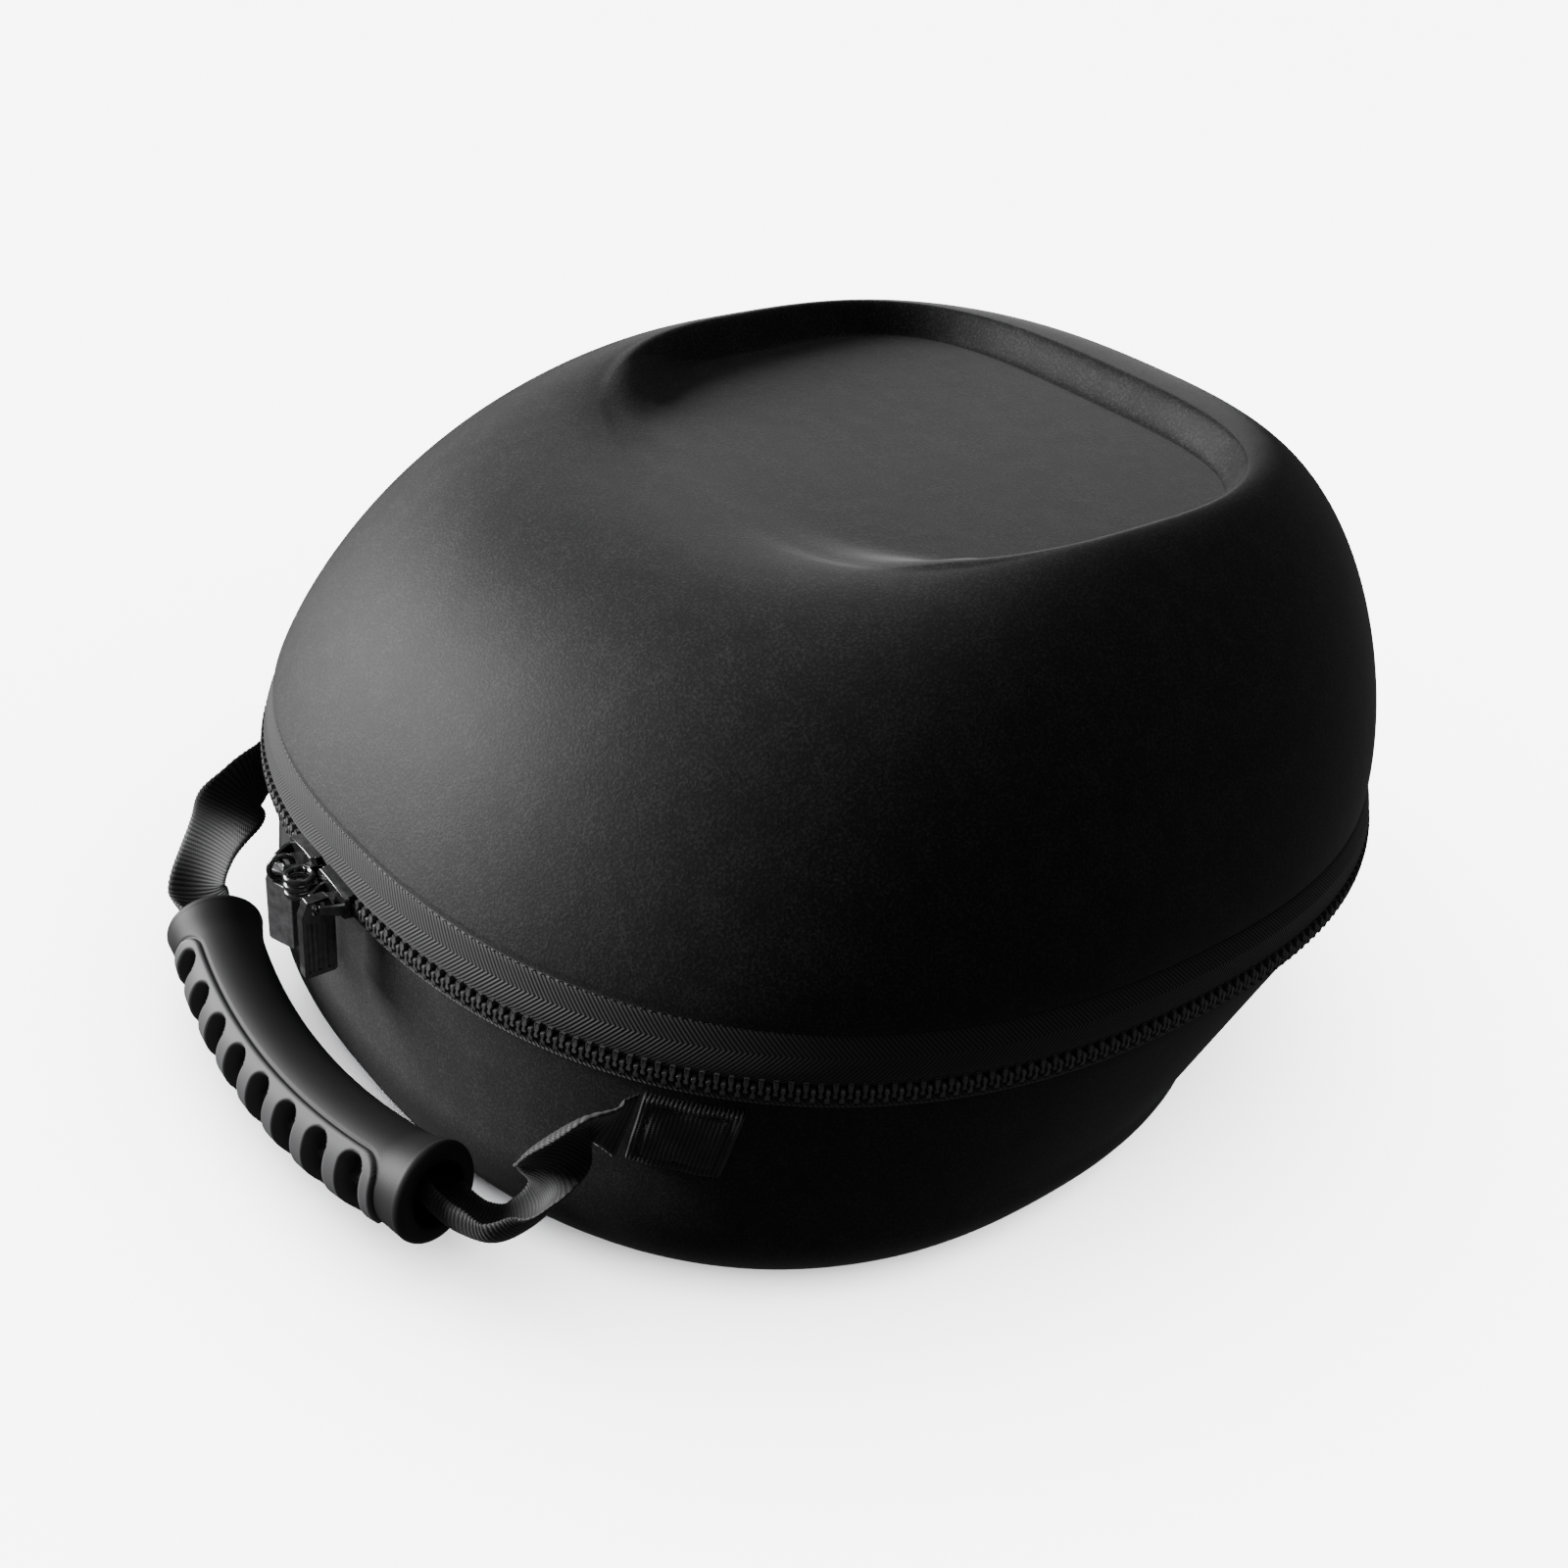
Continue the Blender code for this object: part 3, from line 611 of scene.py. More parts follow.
def add_ring(form, centre, radius, wire, across, up, matrix, squash=1.0):
    """Add a round ring in the plane of two directions."""
    across = Vector(across)
    up = Vector(up)
    normal = across.cross(up)
    sections = []
    for turn in circle(40):
        spoke = across * math.cos(turn) + up * math.sin(turn)
        middle = Vector(centre) + spoke * radius
        section = []
        for angle in circle(12):
            offset = spoke * math.cos(angle) * wire + normal * math.sin(angle) * wire * squash
            section.append(matrix @ (middle + offset))
        sections.append(section)
    add_tube(form, sections, closed=True)


def add_stitch(form, start, end, outward, thick):
    """Add one stitch: a short thread that dips in at both ends."""
    along = end - start
    side = along.cross(outward).normalized()
    sections = []
    for share, size, lift in ((0.0, 0.35, -0.5), (0.15, 0.9, 0.1), (0.5, 1.0, 0.45), (0.85, 0.9, 0.1),
                              (1.0, 0.35, -0.5)):
        middle = start + along * share + outward * thick * lift
        sections.append([middle + (side * math.cos(turn) + outward * math.sin(turn)) * thick * size
                         for turn in circle(6)])
    add_tube(form, sections)


def bevelled(piece, width):
    """Round a piece's edges."""
    modifier = piece.modifiers.new("edge", "BEVEL")
    modifier.width = width
    modifier.segments = 2
    modifier.limit_method = "ANGLE"
    modifier.angle_limit = math.radians(30)


def carved(mesh, cutters):
    """Cut boxes out of a mesh for good."""
    piece = bpy.data.objects.new("carving", mesh)
    bpy.context.scene.collection.objects.link(piece)
    helpers = []
    for cutter in cutters:
        helper = bpy.data.objects.new("carver", cutter)
        bpy.context.scene.collection.objects.link(helper)
        modifier = piece.modifiers.new("cut", "BOOLEAN")
        modifier.operation = "DIFFERENCE"
        modifier.solver = "EXACT"
        modifier.object = helper
        helpers.append(helper)
    bpy.context.view_layer.update()
    result = bpy.data.meshes.new_from_object(piece.evaluated_get(bpy.context.evaluated_depsgraph_get()))
    for helper in helpers + [piece]:
        bpy.data.objects.remove(helper, do_unlink=True)
    return result


# Shells


def build_lid(fabric):
    """Lid: a tucked edge, the dome, its crest and the sunken panel."""
    angles = circle(shell_columns)
    rows = [outline_row(angles, upper_tape_inset + tuck_inset, lid_edge_z + z) for z in lid_tuck_heights]
    for step in range(lid_edge_rows + 1):
        turn = math.pi / 2 * step / lid_edge_rows
        inset = upper_tape_inset + lid_edge_radius * (1 - math.sin(turn))
        z = lid_edge_z + lid_edge_gap + lid_edge_radius * (1 - math.cos(turn))
        rows.append(outline_row(angles, inset, z))
    for step in range(dome_rows + 1):
        rows.append([lid_point(angle, step / dome_rows) for angle in angles])
    centre = Vector((0, ring_middle("floor"), panel_z(ring_middle("floor"))))
    for step in range(1, panel_wall_rows + panel_floor_rows):
        row = []
        for angle in angles:
            crest = ring_point("crest", angle)
            floor = ring_point("floor", angle)
            point = crest.lerp(floor, step / panel_wall_rows)
            if step > panel_wall_rows:
                point = floor.lerp(centre, (step - panel_wall_rows) / panel_floor_rows)
            wall = (floor - crest).length
            wall += (soft_wall - wall) * ease((math.cos(angle) + 0.10) / 0.85)
            drop = ease(((point - crest).length / wall - 0.05) / 0.92)
            top = crest_z(angle)
            point.z = top + (panel_z(point.y) - top) * drop
            row.append(point)
        rows.append(row)
    mesh = grid_mesh("lid_cover", rows, closed=True, last_cap=centre)
    dress("lid_cover", mesh, fabric, "case", "shell_fabric", "lid_shell")


def corner_point(angle, centre, share, z=0.0):
    """Give a point at a height, inside the waist by a share of the bottom's corner."""
    waist = ring_point("waist", angle)
    point = waist - (waist - centre).normalized() * bottom_corner * share
    point.z = z
    return point


def build_lower(fabric):
    """Lower shell: flat bottom, rounded corner, tapered wall and a tucked edge."""
    angles = circle(shell_columns)
    centre = Vector((0, ring_middle("waist"), 0))
    rows = []
    for shrink in bottom_shares:
        rows.append([centre.lerp(corner_point(angle, centre, 1), shrink) for angle in angles])
    for step in range(corner_rows + 1):
        turn = step / corner_rows * math.pi / 2
        z = bottom_corner * (1 - math.cos(turn))
        rows.append([corner_point(angle, centre, 1 - math.sin(turn), z) for angle in angles])
    for step in range(lower_wall_rows - 1, -1, -1):
        rows.append([lower_point(angle, step / lower_wall_rows) for angle in angles])
    for step in range(lower_edge_rows + 1):
        turn = math.pi / 2 * step / lower_edge_rows
        inset = lower_tape_inset + lower_edge_radius * (1 - math.cos(turn))
        rows.append(outline_row(angles, inset, lower_edge_z - lower_edge_radius * (1 - math.sin(turn))))
    rows.append(outline_row(angles, lower_tape_inset + tuck_inset, lower_edge_z - tuck_inset))
    mesh = grid_mesh("lower_cover", rows, closed=True, first_cap=centre)
    dress("lower_cover", mesh, fabric, "case", "shell_fabric", "lower_shell")


# Zip


def band_mesh(name, profile, spots):
    """Sweep an open profile of inset, height and distance across, through angles and their distances."""
    angles = [angle for angle, run in spots]
    rows = [outline_row(angles, inset, z) for inset, z, across in profile]
    uvs = [[(run, across) for angle, run in spots] for inset, z, across in profile]
    return grid_mesh(name, rows, uvs=uvs)


def build_tapes(tape):
    """Both tapes, from behind the teeth to under the edges of the shells."""
    top = zip_height + chain_half
    bottom = zip_height - chain_half
    # The rows behind the teeth carry the mark for their painted black shade.
    upper = [(0.0020, zip_height + 0.0001, teeth_shade_mark), (0.0019, zip_height + 0.0012, teeth_shade_mark),
             (0.0010, zip_height + 0.0014, -0.0018), (0.0003, top + 0.0002, 0.0)]
    for step in range(1, 9):
        share = step / 8
        inset = upper_tape_inset * share ** 1.2 - 0.0005 * math.sin(math.pi * share)
        upper.append((max(inset, -0.0003), top + (lid_edge_z + 0.0004 - top) * share, tape_top * share))
    upper.append((upper_tape_inset + 0.0020, lid_edge_z + 0.0012, 0.0135))
    lower = [(lower_tape_inset + 0.0018, lower_edge_z - 0.0012, 0.0046),
             (lower_tape_inset - 0.0002, lower_edge_z + 0.0001, 0.0034),
             (0.0016, lower_edge_z + 0.0004, 0.0022), (0.0005, lower_edge_z + 0.0012, 0.0012),
             (0.0003, bottom - 0.0002, 0.0),
             (0.0010, zip_height - 0.0014, -0.0018), (0.0019, zip_height - 0.0012, teeth_shade_mark),
             (0.0020, zip_height - 0.0001, teeth_shade_mark)]
    start = run_at(-hinge_angle)
    reach = run_at(hinge_angle) - start
    count = int(reach / tape_step)
    runs = [start + reach * step / count for step in range(count + 1)]
    spots = [(angle_at_run(run), run) for run in runs]
    dress("upper_tape", band_mesh("upper_tape", upper, spots), tape, "case", "zip_tape", "upper_zip_tape")
    dress("lower_tape", band_mesh("lower_tape", lower, spots), tape, "case", "zip_tape", "lower_zip_tape")


def build_hinge(cloth):
    """Hinge cloth at the back, bulging between the two edges."""
    profile = [(lower_tape_inset + 0.0015, lower_edge_z - 0.0010, 0.0),
               (lower_tape_inset - 0.0004, lower_edge_z + 0.0004, 0.0022)]
    for step in range(1, 10):
        share = step / 10
        inset = lower_tape_inset * (1 - share) + upper_tape_inset * share
        inset -= hinge_bulge * math.sin(math.pi * share) ** 0.7
        profile.append((inset, lower_edge_z + (lid_edge_z - lower_edge_z) * share, 0.0022 + 0.020 * share))
    profile += [(upper_tape_inset - 0.0004, lid_edge_z - 0.0004, 0.0225),
                (upper_tape_inset + 0.0018, lid_edge_z + 0.0012, 0.025)]
    reach = 2 * (math.pi - hinge_angle + hinge_overlap)
    spots = [(hinge_angle - hinge_overlap + reach * step / hinge_columns, hinge_width * step / hinge_columns)
             for step in range(hinge_columns + 1)]
    dress("hinge_cover", band_mesh("hinge_cover", profile, spots), cloth, "case", "zip_tape", "hinge_cloth")


def build_seams(thread):
    """Stitches along both edges, that hold the tapes and the hinge cloth."""
    form = bmesh.new()
    length = run_lengths[-1]
    count = int(length / seam_pitch)
    upper = (upper_tape_inset + 0.0004, lid_edge_z + 0.0003, 0.5, upper_thread)
    lower = (lower_tape_inset, lower_edge_z + 0.0001, -0.4, lower_thread)
    for number in range(count):
        angle = angle_at_run(-length / 2 + length * number / count)
        place, along, outward = zip_frame(angle)
        for inset, z, rise, thick in (upper, lower):
            middle = outline_point(angle, inset)
            middle.z = z
            lean = (outward + Vector((0, 0, rise))).normalized()
            add_stitch(form, middle - along * seam_half, middle + along * seam_half, lean, thick)
    dress("seam_stitches", from_form("seam_stitches", form), thread, "case", "zip_tape")


def build_teeth(resin):
    """Moulded teeth on each side of the sliders, in turn on the upper and the lower tape."""
    start = run_at(angle_at_x(slider_meeting_x))
    end = run_at(hinge_angle)
    for name, sign, node in (("left_teeth", -1, "left_zip_teeth"), ("right_teeth", 1, "right_zip_teeth")):
        form = bmesh.new()
        length = end + start if sign < 0 else end - start
        for number in range(int((length - tooth_reach - unit) / (tooth_pitch / 2))):
            run = start + sign * (tooth_reach + number * tooth_pitch / 2)
            place, along, outward = zip_frame(angle_at_run(run))
            flip = 1 if number % 2 == 0 else -1
            loops = []
            for depth, scale in ((0.00095, 0.80), (0.00062, 1.0), (-0.0016, 1.0)):
                loop = []
                for across, up in tooth_outline:
                    lean = 0.55 if scale < 1 and up > 2.5 else 0.0
                    point = place + along * across * scale * unit + outward * (depth - lean * unit)
                    point.z += up * flip * (scale if up < 2.5 else 1.0) * unit
                    loop.append(point)
                loops.append(loop)
            add_tube(form, loops)
        dress(name, from_form(name, form, 35), resin, "case", "zip_resin", node)


# Sliders and pull tabs


def slider_frame(sign):
    """Give the frame at the middle of a slider."""
    middle_x = slider_meeting_x + sign * (slider_length / 2 + nose_gap)
    return frame_matrix(*zip_frame(angle_at_x(middle_x)))


def crown_frame(sign):
    """Give the frame at the middle of a slider's crown bar."""
    return slider_frame(sign) @ Matrix.Translation((sign * crown_offset, crown_face - crown_stand, 0))


def build_sliders(metal):
    """Slider bodies with their flanges, angular crowns and the rings that lock them together."""
    half = slider_length / 2
    tall = slider_height / 2
    near = crown_face
    far = crown_face + plate_thickness
    nose = frame_matrix(*zip_frame(angle_at_x(slider_meeting_x)))
    for name, sign, node, levels in (("left_slider_body", -1, "left_slider", (-1, 1)),
                                     ("right_slider_body", 1, "right_slider", (0,))):
        matrix = slider_frame(sign)
        form = bmesh.new()
        nose_x = -sign * half
        tail_x = sign * half
        waist_x = nose_x + sign * 0.0062
        outline = [(nose_x, tall * 0.55), (nose_x + sign * 0.0016, tall), (waist_x, tall * 0.97),
                   (tail_x - sign * 0.0012, tall * 0.76), (tail_x, tall * 0.62)]
        outline += [(x, -z) for x, z in reversed(outline)]
        add_plate(form, outline, near, far, "Y", matrix)
        for level in (-tall, tall):
            rim_nose = nose_x + sign * 0.0010
            rim_tail = tail_x - sign * 0.0004
            rim = [(rim_nose, level * 0.99), (waist_x, level * 0.96), (rim_tail, level * 0.74),
                   (rim_tail, level * 0.60), (waist_x, level * 0.80), (rim_nose, level * 0.82)]
            add_plate(form, rim, far - 0.0004, far + 0.0016, "Y", matrix)
        add_box(form, (-half + 0.0004, far + 0.0034, -0.003), (half - 0.0004, far + 0.0050, 0.003), matrix)
        post = sorted((nose_x + sign * 0.0004, nose_x + sign * 0.0036))
        add_box(form, (post[0], far - 0.0004, -0.0022), (post[1], far + 0.0040, 0.0022), matrix)
        add_crown(form, sign * crown_offset, matrix)
        ring_y = crown_face - lock_ring_radius - lock_ring_wire - 0.0003
        arm = sorted((sign * 0.0009, sign * 0.0033))
        for level in levels:
            z = level * lock_ring_pitch
            add_ring(form, (0, ring_y, z), lock_ring_radius, lock_ring_wire, (1, 0, 0), (0, 1, 0), nose,
                     squash=1.15)
            add_box(form, (arm[0], ring_y + lock_ring_radius * 0.6, z - 0.0008),
                    (arm[1], crown_face + 0.0006, z + 0.0008), nose)
        bevelled(dress(name, from_form(name, form, 35), metal, "case", "slider_metal", node), 0.00022)


def add_crown(form, middle, matrix):
    """Add a slider's angular crown: a bar with two legs, thinner in its middle."""
    foot = crown_face + 0.0004
    knee = crown_face - 0.0016
    bar = crown_face - crown_stand
    path = [(-0.0056, foot), (-0.0050, knee), (-0.0030, bar), (0.0030, bar), (0.0050, knee), (0.0056, foot)]
    sections = []
    for step, (x, y) in enumerate(path):
        before = path[max(step - 1, 0)]
        after = path[min(step + 1, len(path) - 1)]
        along = Vector((after[0] - before[0], after[1] - before[1])).normalized()
        side = Vector((along.y, -along.x)) * 0.00048 * 1.15
        tall = 0.0008 + 0.0007 * min(abs(x) / 0.0050, 1.0)
        corners = ((1, tall), (-1, tall), (-1, -tall), (1, -tall))
        sections.append([matrix @ Vector((middle + x + side.x * turn, y + side.y * turn, z))
                         for turn, z in corners])
    add_tube(form, sections)


def tab_mesh(name, matrix, facing, eye_z, grooves):
    """Pull tab: a plate with a square eye, sloping shoulders and grooves on each wide face."""
    half = tab_width / 2
    eye = tab_eye / 2
    head = eye_z + eye + 0.001
    bottom = head - tab_length
    side_line = [(half - 0.0006, bottom), (half, bottom + 0.0006), (half, head - 0.0042),
                 (half - 0.0017, head)]
    outline = side_line + [(-across, up) for across, up in reversed(side_line)]
    form = bmesh.new()
    add_plate(form, outline, -tab_thickness / 2, tab_thickness / 2, facing)
    places = [(-eye, eye, eye_z - eye, eye_z + eye, -tab_thickness, tab_thickness)]
    for side in (-1, 1):
        depths = sorted((side * tab_thickness, side * (tab_thickness / 2 - groove_depth)))
        for centre in grooves:
            places.append((centre - groove_half, centre + groove_half, bottom + 0.0017, eye_z - eye - 0.0022,
                           *depths))
    cutters = []
    for left, right, low, high, near, far in places:
        cutter = bmesh.new()
        if facing == "Y":
            add_box(cutter, (left, near, low), (right, far, high))
        else:
            add_box(cutter, (near, left, low), (far, right, high))
        cutters.append(from_form("carver", cutter))
    mesh = carved(from_form(name, form), cutters)
    mesh.transform(matrix)
    mesh.shade_smooth()
    mesh.set_sharp_from_angle(angle=math.radians(30))
    return mesh


def build_tabs(metal, satin):
    """The left tab hangs on a ring and faces outwards, the right one sits on its crown, turned sideways."""
    left = crown_frame(-1)
    drop = link_radius - link_wire - crown_wire - crown_gap
    form = bmesh.new()
    add_ring(form, (0, 0, -drop), link_radius, link_wire, (0, 1, 0), (0, 0, 1), left)
    dress("left_link", from_form("left_link", form), metal, "left_pull", "slider_metal", "left_pull_link")
    turned = left @ Matrix.Rotation(left_tab_turn, 4, "Z")
    mesh = tab_mesh("left_tab", turned, "Y", -drop - link_radius, ())
    bevelled(dress("left_tab", mesh, satin, "left_pull", "slider_metal", "left_pull_tab"), 0.0002)
    eye_z = crown_wire + crown_gap - tab_eye / 2
    mesh = tab_mesh("right_tab", crown_frame(1), "X", eye_z, (-0.0026, 0.0, 0.0026))
    bevelled(dress("right_tab", mesh, metal, "right_pull", "slider_metal", "right_pull_tab"), 0.0002)


# Grip


def grip_centre(share):
    """Give a point of the grip's middle line, share -1 at its left end and 1 at its right."""
    bow = grip_bow * (1 - share ** 2)
    out = half_length + grip_out + bow * math.cos(grip_lean)
    return Vector((share * grip_span / 2, -out, zip_height - grip_drop - bow * math.sin(grip_lean)))


def grip_frame(share):
    """Give the grip's direction, outward side and upper side at a share."""
    along = (grip_centre(share + 0.01) - grip_centre(share - 0.01)).normalized()
    outward = along.cross(Vector((0, 0, 1))).normalized()
    return along, outward, outward.cross(along).normalized()


def rounded_distance(across, up, half_across, half_up, corner):
    """Give the distance outside a rounded rectangle, less than 0 inside."""
    reach_across = abs(across) - (half_across - corner)
    reach_up = abs(up) - (half_up - corner)
    outside = math.hypot(max(reach_across, 0.0), max(reach_up, 0.0))
    return outside + min(max(reach_across, reach_up), 0.0) - corner


def grip_reach(turn, x):
    """Give the grip's radius and shade at an angle from its outward side, a distance from its middle."""
    from_end = grip_span / 2 - abs(x)
    radius = grip_radius
    radius += grip_cuff * ease(1 - from_end / cuff_length)
    turn = (turn + math.pi) % (2 * math.pi) - math.pi
    arc = turn * grip_radius
    pad = rounded_distance(x, arc, grip_span / 2 - pad_end, pad_half_angle * grip_radius, 0.0058)
    radius += pad_raise * ease(0.5 - pad / 0.0007)
    radius -= 0.00035 * ease(1 - abs(pad - 0.0007) / 0.0006)
    nearest = round(x / slot_pitch + (slot_count - 1) / 2)
    nearest = min(max(nearest, 0), slot_count - 1)
    middle = (nearest - (slot_count - 1) / 2) * slot_pitch
    slot = rounded_distance(x - middle, arc, slot_width / 2, slot_half_angle * grip_radius,
                            slot_width / 2 - 0.0001)
    inside = ease(0.5 - slot / 0.0013)
    radius -= slot_depth * inside
    shade = 0.5 * ease(0.5 - pad / 0.0007) * (1 - 0.9 * inside)
    # Painted highlight: a pale line along the pad's rim.
    shade += 0.5 * ease(1 - abs(pad + 0.0003) / 0.0006)
    # Painted light: the cuffs are lighter on their outward side, where the light falls.
    shade += 0.10 * ease(1 - from_end / cuff_length) * ease(math.cos(turn) + 0.2)
    return radius, shade


def grip_row(x, radius=None):
    """Give a ring of points round the grip with their shades, at its own radius or a given one."""
    share = max(min(x * 2 / grip_span, 1.0), -1.0)
    centre = grip_centre(share)
    along, outward, up = grip_frame(share)
    row = []
    marks = []
    for turn in circle(grip_columns):
        reach, shade = grip_reach(turn, x)
        if radius is not None:
            reach = radius
            # The lips round the mouths are painted a little lighter all round, half the cuffs' painted
            # light; the insides of the mouths stay black.
            shade = 0.0 if radius < grip_radius - grip_lip else 0.05
        row.append(centre + (outward * math.cos(turn) + up * math.sin(turn)) * reach)
        marks.append((shade, 0.0))
    return row, marks + marks[:1]


def build_grip(rubber):
    """Grip: bowed bar with flared cuffs, raised pad, slots and a mouth at each end."""
    half = grip_span / 2
    inner = half - grip_lip
    rim = grip_radius + grip_cuff - grip_lip
    mouth = ((mouth_depth, 0.0045), (mouth_depth, 0.0079), (0.0050, mouth_radius), (0.0016, mouth_radius),
             (0.0006, mouth_radius + 0.0002), (0.0001, mouth_radius + 0.0008), (0.0, mouth_radius + 0.0014))
    stations = [(half - level, radius) for level, radius in mouth]
    for step in range(7):
        turn = math.pi / 2 * step / 6
        stations.append((inner + grip_lip * math.cos(turn), rim + grip_lip * math.sin(turn)))
    rings = [grip_row(-x, radius) for x, radius in stations]
    rings += [grip_row(-inner + 2 * inner * step / grip_rows) for step in range(1, grip_rows)]
    rings += [grip_row(x, radius) for x, radius in reversed(stations)]
    rows = [row for row, marks in rings]
    mesh = grid_mesh("grip_sleeve", rows, closed=True, uvs=[marks for row, marks in rings],
                     first_cap=grip_centre(-1) + grip_frame(-1)[0] * mouth_depth,
                     last_cap=grip_centre(1) - grip_frame(1)[0] * mouth_depth)
    form = bmesh.new()
    form.from_mesh(mesh)
    mesh = from_form("grip_sleeve", form)
    dress("grip_sleeve", mesh, rubber, "case", "grip_rubber", "carry_grip")


def build_core(webbing):
    """The rolled webbing that runs through the grip and shows in its slots."""
    half = grip_span / 2 - mouth_depth - 0.0002
    count = int(2 * half / (rib_pitch / 5))
    rows = []
    uvs = []
    for step in range(count + 1):
        x = -half + 2 * half * step / count
        centre = grip_centre(x * 2 / grip_span)
        along, outward, up = grip_frame(x * 2 / grip_span)
        row = []
        marks = []
        for turn in circle(core_columns) + [2 * math.pi]:
            run = x + 0.0035 * math.sin(turn + 0.6)
            rib = rib_height * abs(math.sin(math.pi * run / rib_pitch)) * 1.3
            fold = 0.0009 * math.sin(2 * turn + 0.9) - 0.0011 * ease(1 - abs(turn - 0.45) / 0.22)
            reach = core_radius + rib + fold
            row.append(centre + (outward * math.cos(turn) + up * math.sin(turn)) * reach)
            marks.append((run, turn * core_radius))
        rows.append(row[:-1])
        uvs.append(marks)
    mesh = grid_mesh("grip_core", rows, closed=True, uvs=uvs)
    dress("grip_core", mesh, webbing, "case", "webbing")


# Webbing

# Each strap from its sewn end into the mouth, as on the right: its middle in three numbers, the direction
# of its upper edge in three more, and how far it curls across, in degrees.
strap_rows = {
    "left": [
        (0.0925, -0.1335, 0.0552, 0.00, 0.00, 1.00, 0),
        (0.0880, -0.1385, 0.0552, 0.00, 0.00, 1.00, 0),
        (0.0849, -0.1454, 0.0535, 0.15, -0.10, 0.98, 10),
        (0.0830, -0.1520, 0.0472, 0.65, 0.00, 0.75, 30),
        (0.0819, -0.1579, 0.0380, 0.90, -0.10, 0.30, 50),
        (0.0785, -0.1632, 0.0290, 0.80, -0.50, 0.05, 110),
        (0.0712, -0.1658, 0.0250, 0.30, -0.90, 0.20, 170),
        (0.0645, -0.1655, 0.0245, 0.00, -0.80, 0.50, 200),
        (0.0589, -0.1655, 0.0240, 0.00, -0.80, 0.50, 210),
        (0.0542, -0.1655, 0.0240, 0.00, -0.80, 0.50, 210),
    ],
    "right": [
        (0.0925, -0.1335, 0.0552, 0.00, 0.00, 1.00, 0),
        (0.0908, -0.1368, 0.0562, 0.20, -0.20, 0.95, 0),
        (0.0885, -0.1415, 0.0572, 0.45, -0.45, 0.75, -30),
        (0.0868, -0.1465, 0.0535, 0.20, -0.72, 0.65, -85),
        (0.0862, -0.1497, 0.0483, -0.45, -0.78, 0.30, -135),
        (0.0860, -0.1510, 0.0420, -0.93, -0.10, -0.10, -150),
        (0.0848, -0.1535, 0.0330, -0.75, 0.55, -0.35, -150),
        (0.0803, -0.1600, 0.0262, -0.50, 0.80, -0.35, -160),
        (0.0728, -0.1640, 0.0243, -0.10, 0.87, -0.48, -190),
        (0.0650, -0.1655, 0.0238, 0.00, 0.87, -0.50, -200),
        (0.0590, -0.1655, 0.0236, 0.00, 0.87, -0.50, -205),
        (0.0542, -0.1655, 0.0236, 0.00, 0.87, -0.50, -205),
    ],
}


def curve_value(rows, place):
    """Read a smooth curve through rows of numbers at a place between 0 and the last row."""
    low = min(int(place), len(rows) - 2)
    share = place - low
    before = rows[max(low - 1, 0)]
    after = rows[min(low + 2, len(rows) - 1)]
    values = []
    for a, b, c, d in zip(before, rows[low], rows[low + 1], after):
        values.append(0.5 * (2 * b + (c - a) * share + (2 * a - 5 * b + 4 * c - d) * share ** 2
                             + (3 * b - 3 * c + d - a) * share ** 3))
    return values


def anchor_angles():
    """Give the angle at the middle of the right sewn end, and half its width as an angle."""
    middle = angle_at_x(anchor_x)
    speed = (outline_point(middle + 0.01) - outline_point(middle - 0.01)).length / 0.02
    return middle, anchor_length / 2 / speed


def wall_share(depth):
    """Give the share down the lower shell's wall at a depth under its edge."""
    return (depth - lip_height) / (lower_edge_z - lip_height - bottom_corner)


def webbing_strip(name, stations, sign):
    """Sweep ribbed webbing through stations of middle, edge and curl, at equal distances."""
    rows = []
    uvs = []
    steps = list(range(strip_columns + 1))
    for here, (centre, edge, curl) in enumerate(stations):
        ahead = (stations[min(here + 1, len(stations) - 1)][0] - stations[max(here - 1, 0)][0]).normalized()
        edge = (edge - ahead * edge.dot(ahead)).normalized()
        face = edge.cross(ahead)
        run = here * rib_step
        ripple = abs(math.sin(math.pi * run / rib_pitch))
        bend = math.copysign(max(abs(math.radians(curl)), 0.02), curl)
        radius = webbing_width / bend
        shift = radius * (1 - math.sin(bend / 2) / (bend / 2))
        row = []
        marks = []
        for side, order in ((1, steps), (-1, reversed(steps))):
            for step in order:
                place = (step / strip_columns - 0.5)
                turn = place * (webbing_width + rib_spread * ripple) / radius
                fade = 1 - abs(2 * place) ** 8 * 0.7
                reach = radius + side * (webbing_thickness / 2 + rib_height * ripple) * fade
                out = math.cos(turn) * reach - radius + shift
                point = centre + edge * math.sin(turn) * reach + face * out
                row.append(Vector((point.x * sign, point.y, point.z)))
                marks.append((run, place * webbing_width))
        marks.append(marks[0])
        rows.append(row if sign > 0 else row[::-1])
        uvs.append(marks if sign > 0 else marks[::-1])
    ends = [sum(row, Vector()) / len(row) for row in (rows[0], rows[-1])]
    return grid_mesh(name, rows, closed=True, uvs=uvs, first_cap=ends[0], last_cap=ends[1])


